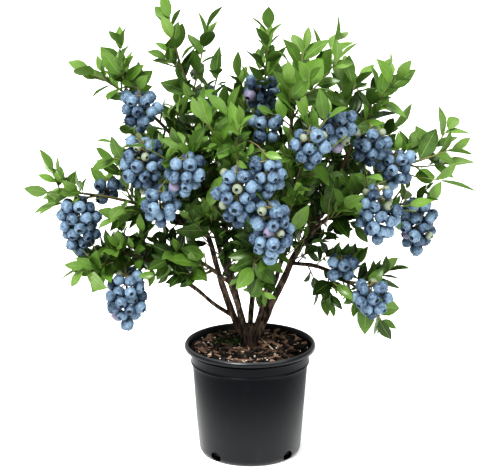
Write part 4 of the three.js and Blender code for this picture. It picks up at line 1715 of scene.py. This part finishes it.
@dataclass
class Wood:
    """The base, the stems and the boughs, with their bark in relief."""

    skeleton: Skeleton
    sides: int = 14
    step: float = 3.6
    slimness: float = 0.87  # of the limbs here, against the solids'
    relief: float = 0.13  # how far bark swells, against the radius
    knots_per_mm: float = 0.045
    strips_per_mm: Pair = (0.42, 0.05)  # across and along the limb
    wander: float = 2.6  # how far a limb's line wanders
    bends_per_mm: float = 0.028
    base_radius: float = 13.0
    base_rise: float = 34.0
    base_steps: int = 48
    lumps_per_mm: Pair = (0.16, 0.05)
    flutes_per_mm: Pair = (0.5, 0.06)

    def _swell(self, where: Vector, number: int) -> float:
        """Gives the factor on a limb's radius at a place on its bark."""
        knots = noise.noise(where * self.knots_per_mm + Vector((number * 7.0, 0, 0)))
        return 1 + self.relief * (1.3 * knots + grained(where, self.strips_per_mm))

    def _drift(self, where: Vector, number: int) -> Vec:
        """Gives how far a limb's line wanders at a place on it."""
        drift = noise.noise_vector(where * self.bends_per_mm + Vector((0, number * 3.0, 0)))
        return np.array(drift[:]) * self.wander

    def _limb(self, joined: Joined, limb: Limb, number: int) -> None:
        """Adds a limb, whose line wanders between its ends and whose radius swells like shreddy bark.

        Args:
            joined: The mesh it goes into.
            limb: The limb.
            number: Its number in its group.
        """
        tube = tube_shape(self.sides, max(8, round(limb.curve.length() / self.step)))
        shares = tube.points[:, 2]
        radii = (limb.radii[0] * self.slimness, limb.radii[1] * self.slimness)
        swell = np.array([self._swell(Vector(point), number) for point in bend(tube, limb.curve, radii)[0]])
        drift = np.array([self._drift(Vector(point), number) for point in limb.curve.at(shares)])
        drift *= np.sin(math.pi * shares)[:, None]
        joined.add(tube, bend(tube, limb.curve, radii, swell) + drift)

    def _base(self) -> Shape:
        """Makes the woody base: a flat cut at the soil, a lumpy flare and a rounded shoulder."""
        flare = [(1.0, 0.0), (0.9, 0.1), (0.84, 0.3), (0.82, 0.5), (0.8, 0.7)]
        shoulder = [(0.66, 0.86), (0.38, 0.97), (0.0, 1.0)]
        profile = [(0.0, 0.0), *flare, *shoulder]
        outline = [(self.base_radius * out, BASE_FOOT + self.base_rise * up) for out, up in profile]
        bm = spun(outline, self.base_steps, 1e-3)
        for v in bm.verts:
            lump, flute = grained(v.co, self.lumps_per_mm), grained(v.co, self.flutes_per_mm)
            v.co.xy *= 0.95 + 0.22 * lump + 0.14 * flute
        return Shape.taken_from(bm)

    def build(self) -> None:
        """Builds the base, the stems and the boughs as three pieces."""
        bark = BarkFinish().material()
        base = self._base()
        joined = Joined()
        joined.add(base, base.points[None])
        piece(joined.mesh("woody_base"), bark, "bark", "stem_base")
        for name, limbs in (("woody_stems", self.skeleton.stems), ("woody_boughs", self.skeleton.boughs)):
            joined = Joined()
            for number, limb in enumerate(limbs):
                self._limb(joined, limb, number)
            piece(joined.mesh(name), bark, "bark", *[limb.name for limb in limbs])


@dataclass
class Crown:
    """Every spray's leaves, twigs, stalks and berries, joined kind by kind."""

    skeleton: Skeleton
    sprays: list[Spray] = field(default_factory=list)
    inner: list[Underwood] = field(default_factory=list)

    def grow(self) -> None:
        """Grows every spray, and then the underwood between them."""
        space = Space(self.skeleton)
        for number, (row, wood) in enumerate(zip(BRANCHES, self.skeleton.twigs, strict=True)):
            look = LOOKS.get(row.name, SprayLook())
            self.sprays.append(Spray(number, space, look.tone, look.leaf, row=row, wood=wood, look=look))
        for spray in self.sprays:
            spray.grow()
            LOG.info("%s: %d leaves, %d berries", spray.row.name, len(spray.leaves), len(spray.berries))
        fruit = [berry for spray in self.sprays for berry in spray.berries]
        for number, look in enumerate(self._inner_looks(), len(BRANCHES)):
            underwood = Underwood(number, space, look.tone, berries=fruit, look=look)
            underwood.grow()
            self.inner.append(underwood)
            LOG.info("underwood: %d leaves, %d twigs", len(underwood.leaves), len(underwood.twigs))

    def _inner_looks(self) -> list[UnderwoodLook]:
        """Gives how the crown fills out along its stems, its boughs, its twigs and its two low twigs, with
        leaves in painted shade.
        """
        right_stem, *other_stems = self.skeleton.stems
        twigs = self.skeleton.twigs
        low_twigs = [twig for twig in twigs if twig.name in ("spray_left_low", "spray_right_low")]
        # Their low tones keep the inner leaves dark as painted shade.
        return [
            UnderwoodLook([right_stem], tone=0.0, least=225, apart=8),
            UnderwoodLook(other_stems, tone=0.0, least=305),
            UnderwoodLook(self.skeleton.boughs, tone=0.05, least=215, apart=11),
            UnderwoodLook(twigs, tone=0.1, least=298, reach=188, apart=14),
            UnderwoodLook(low_twigs, tone=0.05, least=235, reach=215, apart=10),
        ]

    def _leaves(self, is_left: bool) -> Joined:
        """Joins the leaves on one side.

        Args:
            is_left: Whether that is the left side.

        Returns:
            The leaves.
        """
        joined = Joined()
        grown = [leaf for growth in [*self.sprays, *self.inner] for leaf in growth.leaves]
        for form, blade in enumerate(BLADES):
            shape = blade.shape()
            leaves = [leaf for leaf in grown if leaf.form == form and (leaf.root[0] < 0) == is_left]
            along = np.array([leaf.along for leaf in leaves])
            face = np.array([leaf.face for leaf in leaves])
            axes = np.stack([np.cross(along, face), along, face], axis=1)
            roots, lengths = [leaf.root for leaf in leaves], [leaf.length for leaf in leaves]
            tone, youth = [leaf.tone for leaf in leaves], [leaf.youth for leaf in leaves]
            joined.add(shape, set_out(shape, np.array(roots), axes, lengths), tone=tone, youth=youth)
        return joined

    def _tubes(self, twigs: list[Twig], sides: int, steps: int) -> Joined:
        """Joins twigs as bent tubes.

        Args:
            twigs: The twigs.
            sides: How many sides a tube has.
            steps: Its steps.

        Returns:
            The tubes.
        """
        joined = Joined()
        tube = tube_shape(sides, steps)
        for twig in twigs:
            youth = between(twig.youth, tube.points[:, 2])
            joined.add(tube, bend(tube, twig.curve, twig.radii), youth=youth)
        return joined

    def _berries(self) -> Joined:
        """Joins every berry, turned about its own axis as it falls."""
        shape = BerryForm().shape()
        berries = [berry for spray in self.sprays for berry in spray.berries]
        looks = np.array([berry.looks for berry in berries])
        side = np.cross(looks, np.array([0.3, 0.2, 0.93]))
        side /= np.linalg.norm(side, axis=1, keepdims=True)
        axes = np.stack([side, np.cross(looks, side), looks], axis=1)
        copies = set_out(shape, np.array([b.centre for b in berries]), axes, [b.radius for b in berries])
        joined = Joined()
        joined.add(shape, copies, ripeness=[b.ripeness for b in berries], bloom=[b.bloom for b in berries])
        return joined

    def build(self) -> None:
        """Builds the leaves in two pieces, then the twigs, the stalks and the berries."""
        green = LeafFinish().material()
        for name, is_left in (("leaves_left", True), ("leaves_right", False)):
            piece(self._leaves(is_left).mesh(name, sharp=80), green, "foliage")
        twigs = [twig for growth in [*self.sprays, *self.inner] for twig in growth.twigs]
        stalks = [stalk for spray in self.sprays for stalk in spray.stalks]
        nodes = [spray.wood.name for spray in self.sprays]
        stalk_finish = TwigFinish(brown=(0.10, 0.065, 0.035), green=(0.22, 0.20, 0.09), name="berry_stalk")
        twig_mesh = self._tubes(twigs, sides=6, steps=8).mesh("leafy_twigs")
        stalk_mesh = self._tubes(stalks, sides=5, steps=5).mesh("berry_stalks")
        piece(twig_mesh, TwigFinish().material(), "foliage", *nodes)
        piece(stalk_mesh, stalk_finish.material(), "foliage")
        piece(self._berries().mesh("berries", sharp=55), BerryFinish().material(), "foliage")


@dataclass
class Pot:
    """The moulded nursery pot: a rolled lip, a flared band, a ridge, a tapered wall and a drained foot."""

    foot_radius: float = 74.0
    foot_rounding: float = 9.0
    wall: float = 2.0
    steps: int = 128
    drains: int = 4
    drain_turn: float = 48.0
    drain_radius: float = 5.8
    drain_length: float = 30.0
    drain_stretch: tuple[float, float, float] = (1.3, 1.55, 1)
    drain_inset: float = 3.0  # of its middle, from the foot's outside
    drain_height: float = 8.8
    drain_lean: float = 108.0  # from upright, in degrees

    def _outline(self) -> list[Pair]:
        """Gives the outline as radius and height, from the axis underneath round to the axis inside."""
        flat, rounding = self.foot_radius - self.foot_rounding, self.foot_rounding
        arc = [math.radians(angle) for angle in (20, 40, 60, 80)]
        foot = [(flat + rounding * math.sin(a), rounding * (1 - math.cos(a))) for a in arc]
        wall = [(self.foot_radius, rounding), (77.1, 50), (80.5, 95), (83.0, 130), (83.4, 134.5)]
        ridge = [(84.2, 135.6), (85.7, 136.4), (86.1, 137.6), (85.5, 138.8), (84.9, 139.8)]
        band = [(85.2, 143), (86.0, 150), (86.4, 151.2)]
        bead = [(87.9, 151.9), (88.4, 153.0), (88.0, 154.2), (87.2, 155.2), (87.6, 156.6)]
        lip = [(91.4, 156.8), (94.2, 157.8), (95.0, 159.6), (94.9, 161.8), (93.9, 163.8), (92.2, 165.0)]
        lip_inside = [(90.4, 164.8), (88.9, 163.4), (86.9, 156.0)]
        inside = [(84.2, 145.0), (81.4, 137.0), (72.0, 12.0), (69.0, 5.5), (flat, self.wall), (0, self.wall)]
        return [(0, 0), (flat, 0), *foot, *wall, *ridge, *band, *bead, *lip, *lip_inside, *inside]

    def _cutters(self) -> bmesh.types.BMesh:
        """Makes the rounded blocks that cut the drains through the foot."""
        bm = bmesh.new()
        radius = self.drain_radius * MM
        size = {"segments": 20, "radius1": radius, "radius2": radius, "depth": self.drain_length * MM}
        lean = Matrix.Rotation(math.radians(self.drain_lean), 3, "Y")
        middle = ((self.foot_radius - self.drain_inset) * MM, 0, self.drain_height * MM)
        for number in range(self.drains):
            turn = Matrix.Rotation(math.radians(self.drain_turn + 360 * number / self.drains), 3, "Z")
            verts = bmesh.ops.create_cone(bm, cap_ends=True, **size)["verts"]
            bmesh.ops.scale(bm, verts=verts, vec=self.drain_stretch)
            bmesh.ops.rotate(bm, verts=verts, cent=(0, 0, 0), matrix=lean)
            bmesh.ops.translate(bm, verts=verts, vec=middle)
            bmesh.ops.rotate(bm, verts=verts, cent=(0, 0, 0), matrix=turn)
        return bm

    def build(self) -> None:
        """Builds the pot, with its drains cut, as one piece."""
        outline = [(radius * MM, up * MM) for radius, up in self._outline()]
        shell = linked("pot_shell", mesh_of("pot_shell", spun(outline, self.steps, 1e-6)))
        cutters = linked("drain_cutters", mesh_of("drain_cutters", self._cutters()))
        cut = shell.modifiers.new("drains", "BOOLEAN")
        cut.operation, cut.solver, cut.object = "DIFFERENCE", "EXACT", cutters
        bpy.context.view_layer.update()
        graph = bpy.context.evaluated_depsgraph_get()
        mesh = bpy.data.meshes.new_from_object(shell.evaluated_get(graph))
        for spare in (shell, cutters):
            bpy.data.objects.remove(spare)
        mesh.name = "nursery_pot"
        mesh.shade_smooth()
        mesh.set_sharp_from_angle(angle=math.radians(40))
        piece(mesh, PlasticFinish().material(), "pot_plastic", "pot")


@dataclass(frozen=True)
class Strewn:
    """Something strewn over the mound."""

    name: str
    shape: Shape
    count: int
    key: int  # of its draws
    sizes: tuple[Pair, Pair, Pair]  # the least and the greatest length, width and height
    tilt: float  # at most, in degrees
    finish: GroundFinish


@dataclass
class PottingMix:
    """The potting mix: a lumpy mound strewn with bark chips, crumbs, perlite and a little moss."""

    radius: float = 85.9
    strewn_radius: float = 84.0
    bare: float = 15.0  # the radius of the room round the woody base
    edge: float = 156.8
    top: float = 160.4
    sides: tuple[Pair, ...] = ((146.5, 0.975), (136.0, 0.962), (8.0, 0.857))  # heights and narrowings
    lump: float = 1.5
    moss_middle: Pair = (-32.0, 12.0)
    moss_reach: Pair = (22.1, 17.0)
    moss_tufts: int = 240
    moss_key: int = 7

    def _height(self, x: float, y: float) -> float:
        """Gives the mound's height at a place."""
        out = min(1.0, math.hypot(x, y) / self.radius)
        lumps = noise.fractal(Vector((x * 0.06, y * 0.06, 3.0)), 0.9, 2.1, 4)
        return self.top - (self.top - self.edge) * out**2 + self.lump * lumps * min(1, out * 4)

    def _mound(self) -> Joined:
        """Makes the mound, closed by a plain side that narrows down to the pot's floor."""
        bm = bmesh.new()
        bmesh.ops.create_circle(bm, cap_ends=True, cap_tris=True, segments=96, radius=self.radius)
        bmesh.ops.subdivide_edges(bm, edges=[e for e in bm.edges if not e.is_boundary], cuts=22)
        for v in bm.verts:
            v.co.z = self._height(v.co.x, v.co.y)
        for up, narrowing in self.sides:
            rim = [e for e in bm.edges if e.is_boundary]
            side = bmesh.ops.extrude_edge_only(bm, edges=rim)["geom"]
            for v in (v for v in side if isinstance(v, bmesh.types.BMVert)):
                v.co.z = up
                v.co.xy *= narrowing
        bmesh.ops.contextual_create(bm, geom=[e for e in bm.edges if e.is_boundary])
        bmesh.ops.recalc_face_normals(bm, faces=bm.faces)
        shape = Shape.taken_from(bm)
        joined = Joined()
        joined.add(shape, shape.points[None], tone=[0.35])
        return joined

    def _strew(self, kind: Strewn) -> Joined:
        """Strews copies of a shape over the mound, each with its own size, place, turn, tilt and tone.

        Args:
            kind: What is strewn.

        Returns:
            The copies.
        """
        joined = Joined()
        tilt = math.radians(kind.tilt)
        for i in range(kind.count):
            *sizes, how_far, where, turn, lean, roll, tone = (
                chance(i, kind.key, axis, Draw.GROUND) for axis in range(9)
            )
            size = np.array([between(pair, lot**1.6) for pair, lot in zip(kind.sizes, sizes, strict=True)])
            out = math.sqrt(between((self.bare**2, self.strewn_radius**2), how_far))
            out = min(out, self.radius - 0.6 * size[0])
            x, y = out * math.cos(FULL_TURN * where), out * math.sin(FULL_TURN * where)
            leant = Matrix.Rotation(tilt * (2 * lean - 1), 3, "Y")
            rolled = Matrix.Rotation(tilt * (2 * roll - 1), 3, "X")
            turned = np.array(Matrix.Rotation(FULL_TURN * turn, 3, "Z") @ leant @ rolled)
            middle = np.array([x, y, self._height(x, y) + size[2] * 0.3])
            joined.add(kind.shape, ((kind.shape.points * size) @ turned.T + middle)[None], tone=[tone])
        return joined

    def _moss(self, tuft: Shape) -> Joined:
        """Gathers tufts of moss on one side of the stems.

        Args:
            tuft: A tuft's shape.

        Returns:
            The tufts.
        """
        joined = Joined()
        for i in range(self.moss_tufts):
            lots = [chance(i, self.moss_key, axis, Draw.GROUND) for axis in range(5)]
            out, angle = math.sqrt(lots[0]), FULL_TURN * lots[1]
            x = self.moss_middle[0] + self.moss_reach[0] * out * math.cos(angle)
            y = self.moss_middle[1] + self.moss_reach[1] * out * math.sin(angle)
            size = np.array([1, 1, 1.2]) * between((2.0, 4.6), lots[2])
            middle = np.array([x, y, self._height(x, y) + between((1.0, 3.0), lots[3])])
            joined.add(tuft, (tuft.points * size + middle)[None], tone=[lots[4]])
        return joined

    def _sticks(self) -> Joined:
        """Lays two dead sticks on the mound."""
        joined = Joined()
        tube = tube_shape(6, 10)
        ends_radius_tone = (((14, 24), (33, -24), 1.7, 0.95), ((46, 10), (62, -22), 1.5, 0.4))
        for (x0, y0), (x1, y1), radius, tone in ends_radius_tone:
            start = np.array([x0, y0, self._height(x0, y0) + radius + 1.4])
            end = np.array([x1, y1, self._height(x1, y1) + radius + 0.6])
            curve = Sweep(start, unit(end - start + UP * 4), end, unit(end - start - UP * 3))
            joined.add(tube, bend(tube, curve, (radius, radius * 0.7)), tone=[tone])
        return joined

    def _chip(self) -> Shape:
        """Makes a bark chip: a flake with its edges broken and its ends tapered."""
        bm = bmesh.new()
        bmesh.ops.create_cube(bm, size=1)
        lengthways = [e for e in bm.edges if abs(e.verts[0].co.x - e.verts[1].co.x) > 0.5]
        bmesh.ops.subdivide_edges(bm, edges=lengthways, cuts=2)
        for v in bm.verts:
            v.co.y *= 1 - 0.55 * abs(v.co.x * 2) ** 2 * (0.6 if v.co.x > 0 else 1)
            v.co.z *= 1 - 0.4 * abs(v.co.x * 2)
            v.co += Vector(noise.noise_vector(v.co * 3.1)) * 0.12
        return Shape.taken_from(bm)

    def _grain(self) -> Shape:
        """Makes a rough grain."""
        bm = bmesh.new()
        bmesh.ops.create_icosphere(bm, subdivisions=1, radius=0.5)
        for v in bm.verts:
            v.co *= 1 + 0.35 * noise.noise(v.co * 4.0)
        return Shape.taken_from(bm)

    def build(self) -> None:
        """Builds the mound and what lies on it."""
        chip, grain = self._chip(), self._grain()
        earth = GroundFinish("potting_mix", (0.002, 0.0015, 0.001), (0.022, 0.014, 0.009), 420, relief=0.9)
        bark = GroundFinish("bark_chips", (0.007, 0.004, 0.002), (0.320, 0.200, 0.140), 200, FIBROUS)
        straw = GroundFinish("bark_slivers", (0.120, 0.075, 0.045), (0.560, 0.470, 0.360), 260, FIBROUS)
        pale = GroundFinish("perlite", (0.42, 0.37, 0.30), (0.86, 0.83, 0.76), relief=0.3)
        moss = GroundFinish("moss", (0.012, 0.034, 0.008), (0.085, 0.140, 0.034))
        piece(self._mound().mesh("potting_mound"), earth.material(), "potting_mix", "soil")
        for kind in (
            Strewn("bark_chips", chip, 230, 1, ((9, 34), (3.5, 12), (1.6, 3.4)), 26, bark),
            Strewn("bark_slivers", chip, 46, 5, ((12, 30), (2, 5), (1.2, 2.2)), 30, straw),
            Strewn("soil_crumbs", grain, 900, 2, ((1.5, 4.5), (1.5, 4), (1.2, 3)), 40, earth),
            Strewn("perlite", grain, 110, 3, ((2.0, 5.6), (2.0, 4.8), (2.0, 4.4)), 40, pale),
        ):
            piece(self._strew(kind).mesh(kind.name, sharp=30), kind.finish.material(), "potting_mix")
        piece(self._moss(grain).mesh("moss"), moss.material(), "potting_mix")
        piece(self._sticks().mesh("dead_sticks"), straw.material(), "potting_mix")


@dataclass
class Studio:
    """The camera, the soft lights, the pale floor and the white surround."""

    camera_back: float = 2.584
    camera_up: float = 1.030
    camera_down: float = 15.3  # degrees
    lens: float = 135.4
    sensor: float = 36.0
    surround: float = 0.34
    floor_radius: float = 60.0
    floor_glow: float = 0.14

    def _camera(self) -> None:
        """Sets the camera, which looks along +Y and a little down."""
        data = bpy.data.cameras.new("camera")
        data.lens, data.sensor_width = self.lens, self.sensor
        camera = linked("camera", data)
        camera.location = (0, -self.camera_back, self.camera_up)
        camera.rotation_euler = (math.radians(90 - self.camera_down), 0, 0)
        bpy.context.scene.camera = camera

    def _sun(self, name: str, turn: float, elevation: float, strength: float, softness: float) -> None:
        """Adds a soft distant light.

        Args:
            name: Its name.
            turn: Degrees anticlockwise from +X to where it stands.
            elevation: Degrees over the floor.
            strength: Its strength.
            softness: The angle that it fills, in degrees.
        """
        data = bpy.data.lights.new(name, "SUN")
        data.energy, data.angle = strength, math.radians(softness)
        towards = Vector(leaning(turn, 90 - elevation))
        linked(name, data).rotation_euler = towards.to_track_quat("Z", "Y").to_euler()

    def _surround(self) -> None:
        """Fills the surround with even white light."""
        world = bpy.data.worlds.new("surround")
        world.use_nodes = True
        background = world.node_tree.nodes["Background"]
        background.inputs["Color"].default_value = (1, 1, 1, 1)
        background.inputs["Strength"].default_value = self.surround
        bpy.context.scene.world = world

    def _floor(self) -> None:
        """Lays the pale floor."""
        bm = bmesh.new()
        bmesh.ops.create_circle(bm, cap_ends=True, segments=64, radius=self.floor_radius)
        mesh = mesh_of("floor", bm)
        bench = Bench("floor_white")
        bench.set(Base_Color=(0.92, 0.92, 0.92), Roughness=0.9, Specular_IOR_Level=0.1)
        bench.set(Emission_Color=(1.0, 1.0, 1.0), Emission_Strength=self.floor_glow)
        mesh.materials.append(bench.material)
        linked("floor", mesh)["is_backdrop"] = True

    def build(self) -> None:
        """Sets up the studio."""
        self._camera()
        self._sun("key", 240, 52, 3.4, 18)
        self._sun("fill", 318, 42, 1.2, 50)
        self._sun("back", 80, 60, 1.0, 50)
        self._surround()
        self._floor()
        view = bpy.context.scene.view_settings
        view.view_transform, view.look = "Standard", "High Contrast"


def main() -> None:
    """Builds the plant, its pot and the studio."""
    logging.basicConfig(level=logging.INFO, format="%(message)s")
    noise.seed_set(SEED)
    skeleton = Skeleton()
    Wood(skeleton).build()
    crown = Crown(skeleton)
    crown.grow()
    crown.build()
    Pot().build()
    PottingMix().build()
    Studio().build()
    boxes = {"cad": CAD_BOX, "visual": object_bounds()}
    {name: [list(corner) for corner in box] for name, box in boxes.items()}


if __name__ == "__main__":
    main()
